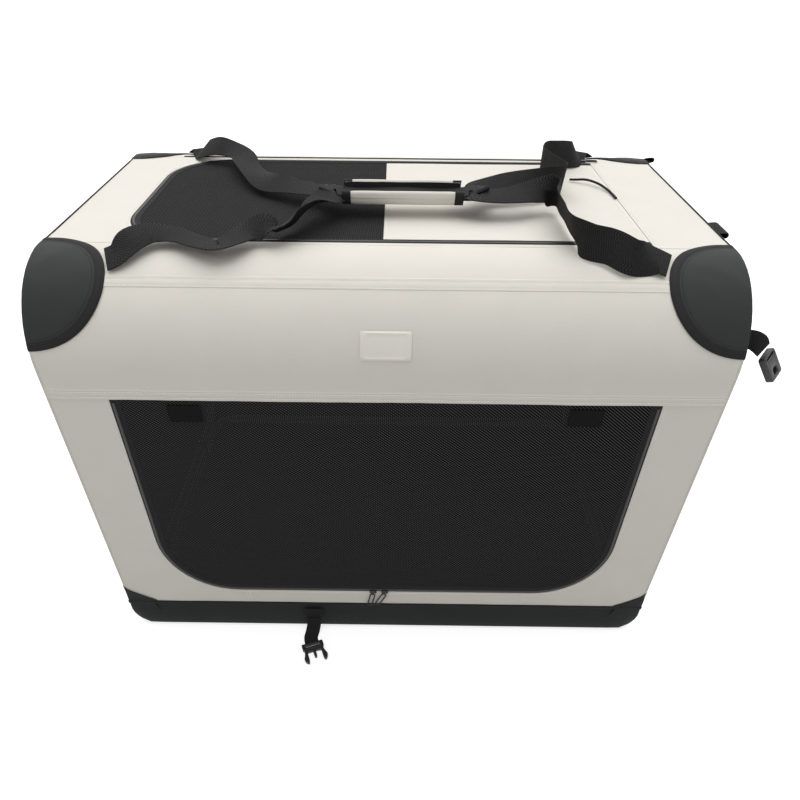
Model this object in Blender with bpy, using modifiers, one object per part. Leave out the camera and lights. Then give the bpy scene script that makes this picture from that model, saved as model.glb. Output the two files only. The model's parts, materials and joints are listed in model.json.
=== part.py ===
"""Soft folding dog crate: a fabric box on two jointed tube end frames.

The crate stands on its tray with the door side facing -Y. X runs along its length, Z is up, and
the origin is on the floor under its middle. Each end frame is a lower and an upper tube hoop,
riveted together at two knees. The knees swing inward and the roof comes straight down.
"""
import math

import bmesh
import bpy
from mathutils import Matrix, Vector

# Overall size, measured over the outer trim layer
LENGTH = 0.810
DEPTH = 0.580
HEIGHT = 0.580
SHOULDER_RADIUS = 0.106

# Fabric layers: the skin is the grey wall fabric, the trim is the black layer sewn over it
SKIN = 0.0016
TRIM = 0.0014
GAP = 0.0004

# Steel frame
TUBE_RADIUS = 0.008
CLIP_WALL = 0.003
TUBE_SPACING = 0.0024
KNEE_OFFSET = 0.003
KNEE_OVERLAP = 0.013
LOWER_BEND = 0.055
RING_BEND = 0.045
PIN_RADIUS = 0.0025
PIN_HEAD_RADIUS = 0.0048
PIN_HEAD = 0.0016
BORE_CLEARANCE = 0.0003
CLIP_LENGTH = 0.024
BASE_CLIP_Y = 0.150
RAIL_RADIUS = 0.006
RAIL_INSET = 0.0092
RAIL_SOCKET = 0.016

# Tray and floor
TRAY_HEIGHT = 0.059
TRAY_CORNER = 0.028
TRAY_FOLD = 0.0020
TRAY_SOLE = 0.010
FLOOR_BOARD = 0.004
WALL_OVERLAP = 0.012

# Front opening, its flap and its door
FLAP_DROP = 0.1442
DOOR_SIDE = 0.0732
DOOR_SILL = 0.028
DOOR_CORNER = 0.105
TAPE_WIDTH = 0.012
MESH_THICKNESS = 0.0010
TAB_WIDTH = 0.040
TAB_HEIGHT = 0.024
TAB_SIDE = 0.088
TAB_TOP_DROP = 0.007
LABEL_WIDTH = 0.058
LABEL_HEIGHT = 0.031
LABEL_DROP = 0.0737
LABEL_THICKNESS = 0.0008

# Roof opening and its door
ROOF_RIM = 0.004
ROOF_DOOR_MARGIN = 0.0772
ROOF_HINGE_MARGIN = 0.0912
ROOF_DOOR_INSET = 0.0072
ROOF_DOOR_CORNER = 0.090
ROOF_SEAM_X = -0.005

# End windows
WINDOW_SIDE = 0.1232
WINDOW_SILL = 0.091
WINDOW_DROP = 0.1482
WINDOW_CORNER = 0.060
WINDOW_SEAM = 0.008

# Corner guards: a disc of fabric folded over each top corner's seam
GUARD_HALF_HEIGHT = 0.0795
GUARD_REACH = 0.0905
GUARD_ANGLE = 34.6
GUARD_LIFT = 0.0006

# Webbing, buckles and zip sliders
STRAP_WIDTH = 0.038
STRAP_TURN = 20.0
STRAP_INSET = 0.002
STRAP_STEP = 0.008
HANDLE_Y = -0.054
HANDLE_LIFT = 0.0180
WRAP_X = 0.018
WRAP_LENGTH = 0.150
WRAP_LIFT = 0.0105
WRAP_DEPTH = 0.016
WRAP_WALL = 0.0035
WRAP_CORNER = 0.005
STRAP_THICKNESS = 0.0016
SLIM_WIDTH = 0.022
SLIM_THICKNESS = 0.0014
SLIM_LIFT = 0.0004
KEEPER_X = -0.113
KEEPER_WIDTH = 0.030
KEEPER_BOTTOM = 0.026
KEEPER_HEIGHT = 0.022
KEEPER_DEPTH = 0.003
EDGE_TAB_INSET = 0.073
EDGE_TAB_DROP = 0.029
BUCKLE_WIDTH = 0.034
BUCKLE_REACH = 0.036
BUCKLE_THICKNESS = 0.006
BUCKLE_YAW = 20.0
SOCKET_WIDTH = 0.025
SOCKET_LENGTH = 0.034
SOCKET_THICKNESS = 0.0085
END_WEBBING_INSET = 0.028
END_WEBBING_DROP = 0.0692
SLIDER_WIDTH = 0.007
SLIDER_LENGTH = 0.011
SLIDER_HEIGHT = 0.003
SLIDER_RISE = 0.0055
FRONT_SLIDER_X = (-0.018, 0.000)
ROOF_SLIDER_BACK = (0.036, 0.012)
PULL_GAP = 0.0022
PULL_LENGTH = 0.027
PULL_WIDTH = 0.006
PULL_THICKNESS = 0.0016

# Levels that follow from the sizes above
SKIN_X = LENGTH / 2 - TRIM - GAP
SKIN_Y = DEPTH / 2 - TRIM - GAP
SKIN_Z = HEIGHT - TRIM - GAP
SEAM_Y = SKIN_Y - SHOULDER_RADIUS
SHOULDER_Z = SKIN_Z - SHOULDER_RADIUS
ROOF_EDGE_Y = SEAM_Y - ROOF_RIM
HEM_Z = SKIN_Z - FLAP_DROP
DOOR_HALF_WIDTH = SKIN_X - DOOR_SIDE
DOOR_BOTTOM_Z = TRAY_HEIGHT + DOOR_SILL
LABEL_Z = SKIN_Z - LABEL_DROP
ROOF_DOOR_LEFT = ROOF_DOOR_MARGIN - SKIN_X
ROOF_DOOR_HINGE = SKIN_X - ROOF_HINGE_MARGIN
ROOF_DOOR_Y = ROOF_EDGE_Y - ROOF_DOOR_INSET
RAIL_Y = ROOF_EDGE_Y - RAIL_INSET
WINDOW_HALF_WIDTH = SKIN_Y - WINDOW_SIDE
WINDOW_BOTTOM_Z = TRAY_HEIGHT + WINDOW_SILL
WINDOW_TOP_Z = SKIN_Z - WINDOW_DROP
HANDLE_Z = SKIN_Z + HANDLE_LIFT
FRAME_INSET = SKIN + GAP + CLIP_WALL + TUBE_RADIUS
TUBE_X = SKIN_X - FRAME_INSET
TUBE_Y = SKIN_Y - FRAME_INSET
TUBE_TOP = SKIN_Z - FRAME_INSET
LOWER_Y = TUBE_Y - 2 * TUBE_RADIUS - TUBE_SPACING
RING_Z = TRIM + GAP + CLIP_WALL + TUBE_RADIUS
CROSS_Z = RING_Z + 2 * TUBE_RADIUS + TUBE_SPACING
KNEE_Z = (CROSS_Z + TUBE_TOP) / 2
WRAP_END = SKIN_X - SKIN - GAP
WALL_FOOT = TRAY_HEIGHT - WALL_OVERLAP
OUTER_X = LENGTH / 2
OUTER_Y = DEPTH / 2
GUARD_X = SKIN_X + GUARD_LIFT + TRIM
GUARD_CENTRE = SHOULDER_RADIUS * math.radians(GUARD_ANGLE)

PARTS = None
CUTTERS = None


def clear_scene():
    for old in list(bpy.data.objects):
        bpy.data.objects.remove(old, do_unlink=True)


def new_collection(name):
    made = bpy.data.collections.new(name)
    bpy.context.scene.collection.children.link(made)
    return made


def material(name, color, roughness, metallic=0.0):
    made = bpy.data.materials.new(name)
    made.use_nodes = True
    shader = made.node_tree.nodes["Principled BSDF"]
    shader.inputs["Base Color"].default_value = (*color, 1.0)
    shader.inputs["Roughness"].default_value = roughness
    shader.inputs["Metallic"].default_value = metallic
    made.diffuse_color = (*color, 1.0)
    return made


def add(obj, mat):
    """Links an object into the parts collection with its own material."""
    PARTS.objects.link(obj)
    obj.data.materials.clear()
    obj.data.materials.append(mat)
    return obj


def shade_round(mesh, angle=35.0):
    mesh.shade_smooth()
    mesh.set_sharp_from_angle(angle=math.radians(angle))


def arc(centre, radius, start, end, steps):
    """Points along an arc in a plane, both ends included, with angles in degrees."""
    points = []
    for i in range(steps + 1):
        angle = math.radians(start + (end - start) * i / steps)
        points.append((centre[0] + radius * math.cos(angle), centre[1] + radius * math.sin(angle)))
    return points


def rounded_rectangle(half_x, half_y, radius, steps=6, centre=(0.0, 0.0)):
    points = []
    for sx, sy, start in ((1, 1, 0), (-1, 1, 90), (-1, -1, 180), (1, -1, 270)):
        corner = (centre[0] + sx * (half_x - radius), centre[1] + sy * (half_y - radius))
        points += arc(corner, radius, start, start + 90, steps)
    return points


def mesh_from_curve(curve_object):
    """The evaluated curve as a welded mesh in the curve's place."""
    bpy.context.view_layer.update()
    graph = bpy.context.evaluated_depsgraph_get()
    mesh = bpy.data.meshes.new_from_object(curve_object.evaluated_get(graph))
    work = bmesh.new()
    work.from_mesh(mesh)
    bmesh.ops.remove_doubles(work, verts=work.verts, dist=0.00001)
    bmesh.ops.recalc_face_normals(work, faces=work.faces)
    work.to_mesh(mesh)
    work.free()
    matrix = curve_object.matrix_world.copy()
    name = curve_object.name
    bpy.data.objects.remove(curve_object, do_unlink=True)
    made = bpy.data.objects.new(name, mesh)
    made.matrix_world = matrix
    return made


FACING = {
    "up": Matrix.Identity(4),
    "front": Matrix.Rotation(math.radians(90), 4, "X"),
    "side": Matrix(((0, 0, 1, 0), (1, 0, 0, 0), (0, 1, 0, 0), (0, 0, 0, 1))),
}


def plate(name, loops, facing, level, thickness, mat):
    """A flat outline with holes, of one thickness.

    loops are drawn in (x, y) facing up, in (x, z) facing front and in (y, z) facing the side, and
    level is where the middle of the thickness lies across them.
    """
    curve = bpy.data.curves.new(name, "CURVE")
    curve.dimensions = "2D"
    curve.fill_mode = "BOTH"
    curve.extrude = thickness / 2
    for loop in loops:
        spline = curve.splines.new("POLY")
        spline.points.add(len(loop) - 1)
        for point, (u, v) in zip(spline.points, loop):
            point.co = (u, v, 0.0, 1.0)
        spline.use_cyclic_u = True
    made = bpy.data.objects.new(name, curve)
    across = {"up": level, "front": -level, "side": level}[facing]
    made.matrix_world = FACING[facing] @ Matrix.Translation((0.0, 0.0, across))
    bpy.context.scene.collection.objects.link(made)
    made = mesh_from_curve(made)
    return add(made, mat)


def tube(name, points, radius, cyclic=False, resolution=3):
    """A round tube along points, as a mesh that can be cut."""
    curve = bpy.data.curves.new(name, "CURVE")
    curve.dimensions = "3D"
    curve.bevel_depth = radius
    curve.bevel_resolution = resolution
    curve.use_fill_caps = not cyclic
    spline = curve.splines.new("POLY")
    spline.points.add(len(points) - 1)
    for point, place in zip(spline.points, points):
        point.co = (*place, 1.0)
    spline.use_cyclic_u = cyclic
    made = bpy.data.objects.new(name, curve)
    bpy.context.scene.collection.objects.link(made)
    made = mesh_from_curve(made)
    shade_round(made.data)
    return made


def cylinder(name, radius, depth, centre, axis, sides=20):
    work = bmesh.new()
    bmesh.ops.create_cone(
        work, cap_ends=True, segments=sides, radius1=radius, radius2=radius, depth=depth
    )
    mesh = bpy.data.meshes.new(name)
    work.to_mesh(mesh)
    work.free()
    turn = Vector((0, 0, 1)).rotation_difference(Vector(axis)).to_matrix().to_4x4()
    mesh.transform(Matrix.Translation(centre) @ turn)
    return bpy.data.objects.new(name, mesh)


def block(name, low, high, bevel=0.0, segments=2):
    """A box between two corners, with rounded edges if bevel is given."""
    work = bmesh.new()
    bmesh.ops.create_cube(work, size=1.0)
    size = [h - l for l, h in zip(low, high)]
    middle = [(h + l) / 2 for l, h in zip(low, high)]
    bmesh.ops.scale(work, vec=size, verts=work.verts)
    bmesh.ops.translate(work, vec=middle, verts=work.verts)
    if bevel:
        bmesh.ops.bevel(
            work, geom=work.edges[:], offset=bevel, segments=segments, affect="EDGES", profile=0.5
        )
    mesh = bpy.data.meshes.new(name)
    work.to_mesh(mesh)
    work.free()
    return bpy.data.objects.new(name, mesh)


def cut(obj, cutter, operation="DIFFERENCE"):
    """Cuts or joins with another object, which stays in the cutters collection."""
    if cutter.name not in CUTTERS.objects:
        CUTTERS.objects.link(cutter)
    cutter.hide_render = True
    cutter.display_type = "WIRE"
    change = obj.modifiers.new(cutter.name, "BOOLEAN")
    change.operation = operation
    change.object = cutter
    change.solver = "EXACT"
    return obj


def shoulder_point(angle, outset=0.0, side=-1):
    """A point (y, z) on the rounded shoulder, angle degrees down from the roof."""
    radius = SHOULDER_RADIUS + outset
    turn = math.radians(angle)
    return side * (SEAM_Y + radius * math.sin(turn)), SHOULDER_Z + radius * math.cos(turn)


def seam_point(length, outset=0.0, side=-1):
    """A point (y, z) and its outward normal, length along the end seam from the roof's edge.

    Negative lengths lie on the flat roof, and lengths past the shoulder on the upright wall.
    """
    turn = length / SHOULDER_RADIUS
    if turn < 0:
        return (side * (SEAM_Y + length), SKIN_Z + outset), (0.0, 1.0)
    if turn > math.pi / 2:
        drop = length - SHOULDER_RADIUS * math.pi / 2
        return (side * (SKIN_Y + outset), SHOULDER_Z - drop), (float(side), 0.0)
    y, z = shoulder_point(math.degrees(turn), outset, side)
    return (y, z), (side * math.sin(turn), math.cos(turn))


def strip(name, profile, x_low, x_high, mat, thickness=SKIN):
    """A sheet through (y, z) points from x_low to x_high, thickened inward."""
    work = bmesh.new()
    rows = [[work.verts.new((x, y, z)) for x in (x_low, x_high)] for y, z in profile]
    for low, high in zip(rows, rows[1:]):
        work.faces.new((low[0], low[1], high[1], high[0]))
    mesh = bpy.data.meshes.new(name)
    work.to_mesh(mesh)
    work.free()
    shade_round(mesh)
    made = add(bpy.data.objects.new(name, mesh), mat)
    thick = made.modifiers.new("fabric", "SOLIDIFY")
    thick.thickness = thickness
    thick.offset = -1.0
    thick.use_even_offset = True
    return made


def build_tray(mat):
    """The black base: a shallow tray whose corners round off towards the floor."""
    turn = math.radians(20)
    sole = (TRAY_SOLE * (1 - math.sin(turn)), TRAY_SOLE * (1 - math.cos(turn)))
    levels = (
        (0.0, TRAY_SOLE, TRAY_CORNER),
        (sole[1] + TRAY_SOLE * 0.2, sole[0] * 0.55, TRAY_CORNER),
        (TRAY_SOLE * 0.85, 0.0, TRAY_CORNER * 0.9),
        (WALL_FOOT / 2, 0.0, TRAY_CORNER * 0.55),
        (WALL_FOOT - 2 * TRIM, 0.0, TRAY_FOLD),
        (TRAY_HEIGHT, 0.0, TRAY_FOLD),
    )
    work = bmesh.new()
    rings = []
    for z, inset, radius in levels:
        outline = rounded_rectangle(OUTER_X - inset, OUTER_Y - inset, radius, steps=5)
        rings.append([work.verts.new((x, y, z)) for x, y in outline])
    for low, high in zip(rings, rings[1:]):
        count = len(low)
        for i in range(count):
            work.faces.new((low[i], low[(i + 1) % count], high[(i + 1) % count], high[i]))
    work.faces.new(list(reversed(rings[0])))
    mesh = bpy.data.meshes.new("base_tray")
    work.to_mesh(mesh)
    work.free()
    shade_round(mesh)
    made = add(bpy.data.objects.new("base_tray", mesh), mat)
    thick = made.modifiers.new("fabric", "SOLIDIFY")
    thick.thickness = TRIM
    thick.offset = -1.0
    thick.use_even_offset = True
    return made


def build_floor(board_mat):
    low = TRIM + GAP
    outline = rounded_rectangle(
        TUBE_X - TUBE_RADIUS - CLIP_WALL - 4 * GAP,
        TUBE_Y - TUBE_RADIUS - 4 * GAP,
        RING_BEND - TUBE_RADIUS,
    )
    plate("floor_board", [outline], "up", low + FLOOR_BOARD / 2, FLOOR_BOARD, board_mat)


def hoop(z_cross, z_end, y_leg, bend, x):
    """A U of tube in the plane x: one cross tube at z_cross and two legs ending at z_end."""
    up = 1.0 if z_end > z_cross else -1.0
    centre_z = z_cross + up * bend
    right = arc((y_leg - bend, centre_z), bend, -90 * up, 0, 7)
    points = [(x, y_leg, z_end)]
    points += [(x, y, z) for y, z in reversed(right)]
    points += [(x, -y, z) for y, z in right]
    points.append((x, -y_leg, z_end))
    return points


def build_frames(steel):
    ring = [(x, y, RING_Z) for x, y in rounded_rectangle(TUBE_X, TUBE_Y, RING_BEND, steps=5)]
    add(tube("base_ring", ring, TUBE_RADIUS, cyclic=True), steel)
    bend = SHOULDER_RADIUS - FRAME_INSET
    for side, sign in (("left", -1), ("right", 1)):
        x = sign * TUBE_X
        knee_x = sign * (TUBE_X + KNEE_OFFSET)
        lower = tube(
            f"{side}_lower_frame",
            hoop(CROSS_Z, KNEE_Z + KNEE_OVERLAP, LOWER_Y, LOWER_BEND, x),
            TUBE_RADIUS,
        )
        upper = tube(
            f"{side}_upper_frame",
            hoop(TUBE_TOP, KNEE_Z - KNEE_OVERLAP, TUBE_Y, bend, x),
            TUBE_RADIUS,
        )
        for frame, leg in ((lower, LOWER_Y), (upper, TUBE_Y)):
            for end in (-1, 1):
                hole = cylinder(
                    f"{frame.name}_bore_{'rear' if end > 0 else 'front'}",
                    PIN_RADIUS + BORE_CLEARANCE,
                    4 * TUBE_RADIUS,
                    (knee_x, end * leg, KNEE_Z),
                    (0, 1, 0),
                )
                cut(frame, hole)
            add(frame, steel)


def build_knee_pins(steel):
    """Rivets through the two legs of each knee: a turned profile with a head at both ends."""
    outer = TUBE_Y + TUBE_RADIUS + GAP
    inner = LOWER_Y - TUBE_RADIUS - GAP
    for side, sign in (("left", -1), ("right", 1)):
        for end, front in (("front", -1), ("rear", 1)):
            profile = (
                (0.0, outer + PIN_HEAD),
                (PIN_HEAD_RADIUS * 0.7, outer + PIN_HEAD),
                (PIN_HEAD_RADIUS, outer + PIN_HEAD * 0.4),
                (PIN_HEAD_RADIUS, outer),
                (PIN_RADIUS, outer),
                (PIN_RADIUS, inner),
                (PIN_HEAD_RADIUS, inner),
                (PIN_HEAD_RADIUS, inner - PIN_HEAD * 0.4),
                (PIN_HEAD_RADIUS * 0.7, inner - PIN_HEAD),
                (0.0, inner - PIN_HEAD),
            )
            name = f"{side}_{end}_knee_pin"
            mesh = bpy.data.meshes.new(name)
            edges = [(i, i + 1) for i in range(len(profile) - 1)]
            mesh.from_pydata([(r, 0.0, h) for r, h in profile], edges, [])
            made = add(bpy.data.objects.new(name, mesh), steel)
            made.location = (sign * (TUBE_X + KNEE_OFFSET), 0.0, KNEE_Z)
            made.rotation_euler = (math.radians(-90 * front), 0.0, 0.0)
            turn = made.modifiers.new("turned", "SCREW")
            turn.steps = 16
            turn.render_steps = 16
            turn.use_merge_vertices = True
            turn.merge_threshold = 0.00001


def build_base_clips(plastic):
    """Snap blocks that hold each lower hoop's cross tube just above the base ring."""
    outer = TUBE_RADIUS + CLIP_WALL
    bore = TUBE_RADIUS + BORE_CLEARANCE
    for side, sign in (("left", -1), ("right", 1)):
        x = sign * TUBE_X
        outline = arc((x, CROSS_Z), outer, 0, 180, 12) + arc((x, RING_Z), outer, 180, 360, 12)
        holes = [arc((x, z), bore, 0, 360, 20)[:-1] for z in (CROSS_Z, RING_Z)]
        for end, front in (("front", -1), ("rear", 1)):
            plate(
                f"{side}_{end}_base_clip",
                [outline] + holes,
                "front",
                front * BASE_CLIP_Y,
                CLIP_LENGTH,
                plastic,
            )


def build_roof_rails(steel, plastic):
    """Two tubes along the roof and the four blocks that carry them on the hoops."""
    outer = TUBE_RADIUS + CLIP_WALL
    rail_end = TUBE_X - TUBE_RADIUS - CLIP_WALL - GAP
    arm_end = rail_end - RAIL_SOCKET
    half_arm = RAIL_RADIUS + CLIP_WALL
    for end, front in (("front", -1), ("rear", 1)):
        points = [(x, front * RAIL_Y, TUBE_TOP) for x in (-rail_end, rail_end)]
        add(tube(f"roof_rail_{end}", points, RAIL_RADIUS), steel)
        for side, sign in (("left", -1), ("right", 1)):
            rise = math.degrees(math.asin(half_arm / outer))
            outline = arc((TUBE_X, TUBE_TOP), outer, -180 + rise, 180 - rise, 16)
            outline += [(arm_end, TUBE_TOP + half_arm), (arm_end, TUBE_TOP - half_arm)]
            hole = arc((TUBE_X, TUBE_TOP), TUBE_RADIUS + BORE_CLEARANCE, 0, 360, 20)[:-1]
            loops = [[(sign * x, z) for x, z in loop] for loop in (outline, hole)]
            name = f"{side}_{end}_roof_clip"
            clip = plate(name, loops, "front", front * RAIL_Y, CLIP_LENGTH, plastic)
            socket = cylinder(
                f"{name}_socket",
                RAIL_RADIUS + BORE_CLEARANCE,
                2 * (RAIL_SOCKET + BORE_CLEARANCE),
                (sign * arm_end, front * RAIL_Y, TUBE_TOP),
                (1, 0, 0),
            )
            cut(clip, socket)


def door_outline(inset, top):
    """The U-shaped front opening, drawn in (x, z), as a loop closed along its top."""
    half = DOOR_HALF_WIDTH - inset
    low = DOOR_BOTTOM_Z + inset
    radius = DOOR_CORNER - inset
    points = [(half, top)]
    points += reversed(arc((half - radius, low + radius), radius, -90, 0, 10))
    points += [(-x, z) for x, z in arc((half - radius, low + radius), radius, -90, 0, 10)]
    points.append((-half, top))
    return points


def build_front(grey):
    """The lower front wall round the door, and the flap that rolls over the shoulder."""
    level = -(SKIN_Y - SKIN / 2)
    top = HEM_Z - GAP
    opening = door_outline(0.0, top)
    outline = [(WRAP_END, top), (WRAP_END, WALL_FOOT), (-WRAP_END, WALL_FOOT), (-WRAP_END, top)]
    outline += list(reversed(opening))
    plate("front_wall", [outline], "front", level, SKIN, grey)
    profile = [(-SKIN_Y, HEM_Z)]
    profile += [shoulder_point(90 - 90 * i / 12) for i in range(13)]
    profile.append((-ROOF_EDGE_Y - GAP, SKIN_Z))
    strip("front_flap", profile, -WRAP_END, WRAP_END, grey)


def build_rear(grey):
    profile = [(ROOF_EDGE_Y + GAP, SKIN_Z)]
    profile += [shoulder_point(90 * i / 12, side=1) for i in range(13)]
    profile.append((SKIN_Y, WALL_FOOT))
    strip("rear_wall", profile, -WRAP_END, WRAP_END, grey)


def build_ends(grey, net):
    """End walls with a mesh window each; the tops follow the two shoulders."""
    outline = [(-SKIN_Y, WALL_FOOT), (SKIN_Y, WALL_FOOT)]
    outline += arc((SEAM_Y, SHOULDER_Z), SHOULDER_RADIUS, 0, 90, 12)
    outline += arc((-SEAM_Y, SHOULDER_Z), SHOULDER_RADIUS, 90, 180, 12)
    middle = (0.0, (WINDOW_BOTTOM_Z + WINDOW_TOP_Z) / 2)
    half = (WINDOW_TOP_Z - WINDOW_BOTTOM_Z) / 2
    window = rounded_rectangle(WINDOW_HALF_WIDTH, half, WINDOW_CORNER, 8, middle)
    net_loop = rounded_rectangle(
        WINDOW_HALF_WIDTH + WINDOW_SEAM, half + WINDOW_SEAM, WINDOW_CORNER + WINDOW_SEAM, 8, middle
    )
    inner = SKIN_X - SKIN - GAP
    for side, sign in (("left", -1), ("right", 1)):
        plate(f"end_wall_{side}", [outline, window], "side", sign * (SKIN_X - SKIN / 2), SKIN, grey)
        net_level = sign * (inner - MESH_THICKNESS / 2)
        plate(f"end_mesh_{side}", [net_loop], "side", net_level, MESH_THICKNESS, net)


def build_roof(grey, net, black):
    """The roof panel with its opening, and the door: a mesh part, a fabric part and a zip tape."""
    level = SKIN_Z - SKIN / 2
    outline = [
        (-WRAP_END, -ROOF_EDGE_Y),
        (WRAP_END, -ROOF_EDGE_Y),
        (WRAP_END, ROOF_EDGE_Y),
        (-WRAP_END, ROOF_EDGE_Y),
    ]

    def opening(inset, right):
        """A loop with two rounded corners on its left and a straight right side."""
        left = ROOF_DOOR_LEFT + inset
        half = ROOF_DOOR_Y - inset
        radius = ROOF_DOOR_CORNER - inset
        points = [(right, -half), (right, half)]
        points += arc((left + radius, half - radius), radius, 90, 180, 8)
        points += arc((left + radius, -half + radius), radius, 180, 270, 8)
        return points

    plate("roof_panel", [outline, opening(-GAP, ROOF_DOOR_HINGE + GAP)], "up", level, SKIN, grey)
    inner_left = opening(TAPE_WIDTH, ROOF_SEAM_X - GAP)
    half = ROOF_DOOR_Y - TAPE_WIDTH
    tape = opening(GAP, ROOF_DOOR_HINGE - GAP)
    tape_inner = opening(TAPE_WIDTH - GAP, ROOF_DOOR_HINGE - GAP)
    band = [tape[1]] + tape[2:] + [tape[0], tape_inner[0]] + list(reversed(tape_inner[2:]))
    band.append(tape_inner[1])
    plate("roof_door_tape", [band], "up", level, SKIN, black)
    net_level = SKIN_Z - SKIN + MESH_THICKNESS / 2
    plate("roof_door_mesh", [inner_left], "up", net_level, MESH_THICKNESS, net)
    sheet = [
        (ROOF_SEAM_X, -half),
        (ROOF_DOOR_HINGE - GAP, -half),
        (ROOF_DOOR_HINGE - GAP, half),
        (ROOF_SEAM_X, half),
    ]
    plate("roof_door_panel", [sheet], "up", level, SKIN, grey)


def build_front_door(net, black):
    level = -(SKIN_Y - SKIN / 2)
    top = HEM_Z - 2 * GAP
    outer = door_outline(GAP, top)
    inner = door_outline(TAPE_WIDTH, top)
    band = outer + list(reversed(inner))
    plate("front_door_tape", [band], "front", level, SKIN, black)
    net_outer = door_outline(TAPE_WIDTH + GAP, top)
    net_level = -(SKIN_Y - SKIN + MESH_THICKNESS / 2)
    plate("front_door_mesh", [net_outer], "front", net_level, MESH_THICKNESS, net)
    tab_level = net_level - MESH_THICKNESS / 2 - GAP - SLIM_THICKNESS / 2
    for side, sign in (("left", -1), ("right", 1)):
        centre = (sign * (DOOR_HALF_WIDTH - TAB_SIDE), HEM_Z - TAB_TOP_DROP - TAB_HEIGHT / 2)
        outline = rounded_rectangle(TAB_WIDTH / 2, TAB_HEIGHT / 2, 0.002, 2, centre)
        plate(f"door_tab_{side}", [outline], "front", tab_level, SLIM_THICKNESS, black)


def build_guards(black):
    """Each corner guard is a disc centred on the end seam and folded over it.

    The longer half lies on the roof and shoulder, the other on the end wall.
    """
    rings = 6
    spokes = 32
    for side, sign in (("left", -1), ("right", 1)):
        for end, front in (("front", -1), ("rear", 1)):
            name = f"corner_guard_{side}_{end}"
            work = bmesh.new()
            layers = []
            for outset in (GUARD_LIFT, GUARD_LIFT + TRIM):
                def place(share, turn):
                    along = GUARD_CENTRE + GUARD_HALF_HEIGHT * share * math.cos(turn)
                    reach = GUARD_REACH if math.sin(turn) > 0 else GUARD_HALF_HEIGHT
                    across = reach * share * math.sin(turn)
                    (y, z), (ny, nz) = seam_point(along, outset, front)
                    if across >= 0:
                        return (sign * (SKIN_X + outset - across), y, z)
                    return (sign * (SKIN_X + outset), y + across * ny, z + across * nz)

                hub = work.verts.new(place(0.0, 0.0))
                grid = []
                for r in range(1, rings + 1):
                    row = [place(r / rings, 2 * math.pi * s / spokes) for s in range(spokes)]
                    grid.append([work.verts.new(p) for p in row])
                layers.append((hub, grid))
            for hub, grid in layers:
                for s in range(spokes):
                    n = (s + 1) % spokes
                    work.faces.new((hub, grid[0][s], grid[0][n]))
                    for low, high in zip(grid, grid[1:]):
                        work.faces.new((low[s], high[s], high[n], low[n]))
            rim_in = layers[0][1][-1]
            rim_out = layers[1][1][-1]
            for s in range(spokes):
                n = (s + 1) % spokes
                work.faces.new((rim_in[s], rim_out[s], rim_out[n], rim_in[n]))
            bmesh.ops.recalc_face_normals(work, faces=work.faces)
            bmesh.ops.triangulate(work, faces=work.faces)
            mesh = bpy.data.meshes.new(name)
            work.to_mesh(mesh)
            work.free()
            shade_round(mesh)
            add(bpy.data.objects.new(name, mesh), black)


def shoulder_angle(z):
    """How far down from the roof, in degrees, the shoulder's surface reaches height z."""
    return math.degrees(math.acos((z - SHOULDER_Z) / SHOULDER_RADIUS))


def build_label(mat):
    """The bare patch sewn on the flap, which follows the shoulder's curve."""
    low = shoulder_angle(LABEL_Z - LABEL_HEIGHT / 2)
    high = shoulder_angle(LABEL_Z + LABEL_HEIGHT / 2)
    outset = GAP + LABEL_THICKNESS
    profile = [shoulder_point(low + (high - low) * i / 5, outset) for i in range(6)]
    half = LABEL_WIDTH / 2
    strip("label_patch", profile, -half, half, mat, LABEL_THICKNESS)


def smooth_route(points, step):
    """A smooth curve through hand-placed points, sampled about a step apart.

    Each point is a tuple led by its x, y and z. What follows them is smoothed along with them.
    """
    rows = [Vector(point) for point in points]
    spans = [(Vector(b[:3]) - Vector(a[:3])).length for a, b in zip(points, points[1:])]
    slopes = [(rows[1] - rows[0]) / spans[0]]
    for i in range(1, len(rows) - 1):
        before = (rows[i] - rows[i - 1]) / spans[i - 1]
        after = (rows[i + 1] - rows[i]) / spans[i]
        total = spans[i - 1] + spans[i]
        slopes.append(before * (spans[i] / total) + after * (spans[i - 1] / total))
    slopes.append((rows[-1] - rows[-2]) / spans[-1])
    made = []
    for i, span in enumerate(spans):
        count = max(1, round(span / step))
        for k in range(count):
            t = k / count
            place = rows[i] * (2 * t ** 3 - 3 * t ** 2 + 1) + rows[i + 1] * (3 * t ** 2 - 2 * t ** 3)
            place += slopes[i] * (span * (t ** 3 - 2 * t ** 2 + t))
            place += slopes[i + 1] * (span * (t ** 3 - t ** 2))
            made.append(tuple(place))
    made.append(tuple(rows[-1]))
    return made


def ribbon(name, route, width, thickness, mat, step=0.004):
    """Flat webbing along a route of (x, y, z, wx, wy, wz): a place and its width direction."""
    samples = smooth_route(route, step)
    places = [Vector(s[:3]) for s in samples]
    work = bmesh.new()
    rings = []
    last = len(samples) - 1
    for i, sample in enumerate(samples):
        travel = (places[min(i + 1, last)] - places[max(i - 1, 0)]).normalized()
        across = Vector(sample[3:]).normalized()
        if 0 < i < last:
            across = (across - across.dot(travel) * travel).normalized()
        normal = travel.cross(across).normalized()
        ring = []
        for u, v in ((-1, -1), (1, -1), (1, 1), (-1, 1)):
            place = places[i] + across * (u * width / 2) + normal * (v * thickness / 2)
            ring.append(work.verts.new(place))
        rings.append(ring)
    for low, high in zip(rings, rings[1:]):
        for i in range(4):
            n = (i + 1) % 4
            work.faces.new((low[i], low[n], high[n], high[i]))
    work.faces.new(list(reversed(rings[0])))
    work.faces.new(rings[-1])
    bmesh.ops.recalc_face_normals(work, faces=work.faces)
    bmesh.ops.triangulate(work, faces=work.faces)
    mesh = bpy.data.meshes.new(name)
    work.to_mesh(mesh)
    work.free()
    return add(bpy.data.objects.new(name, mesh), mat)


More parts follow.
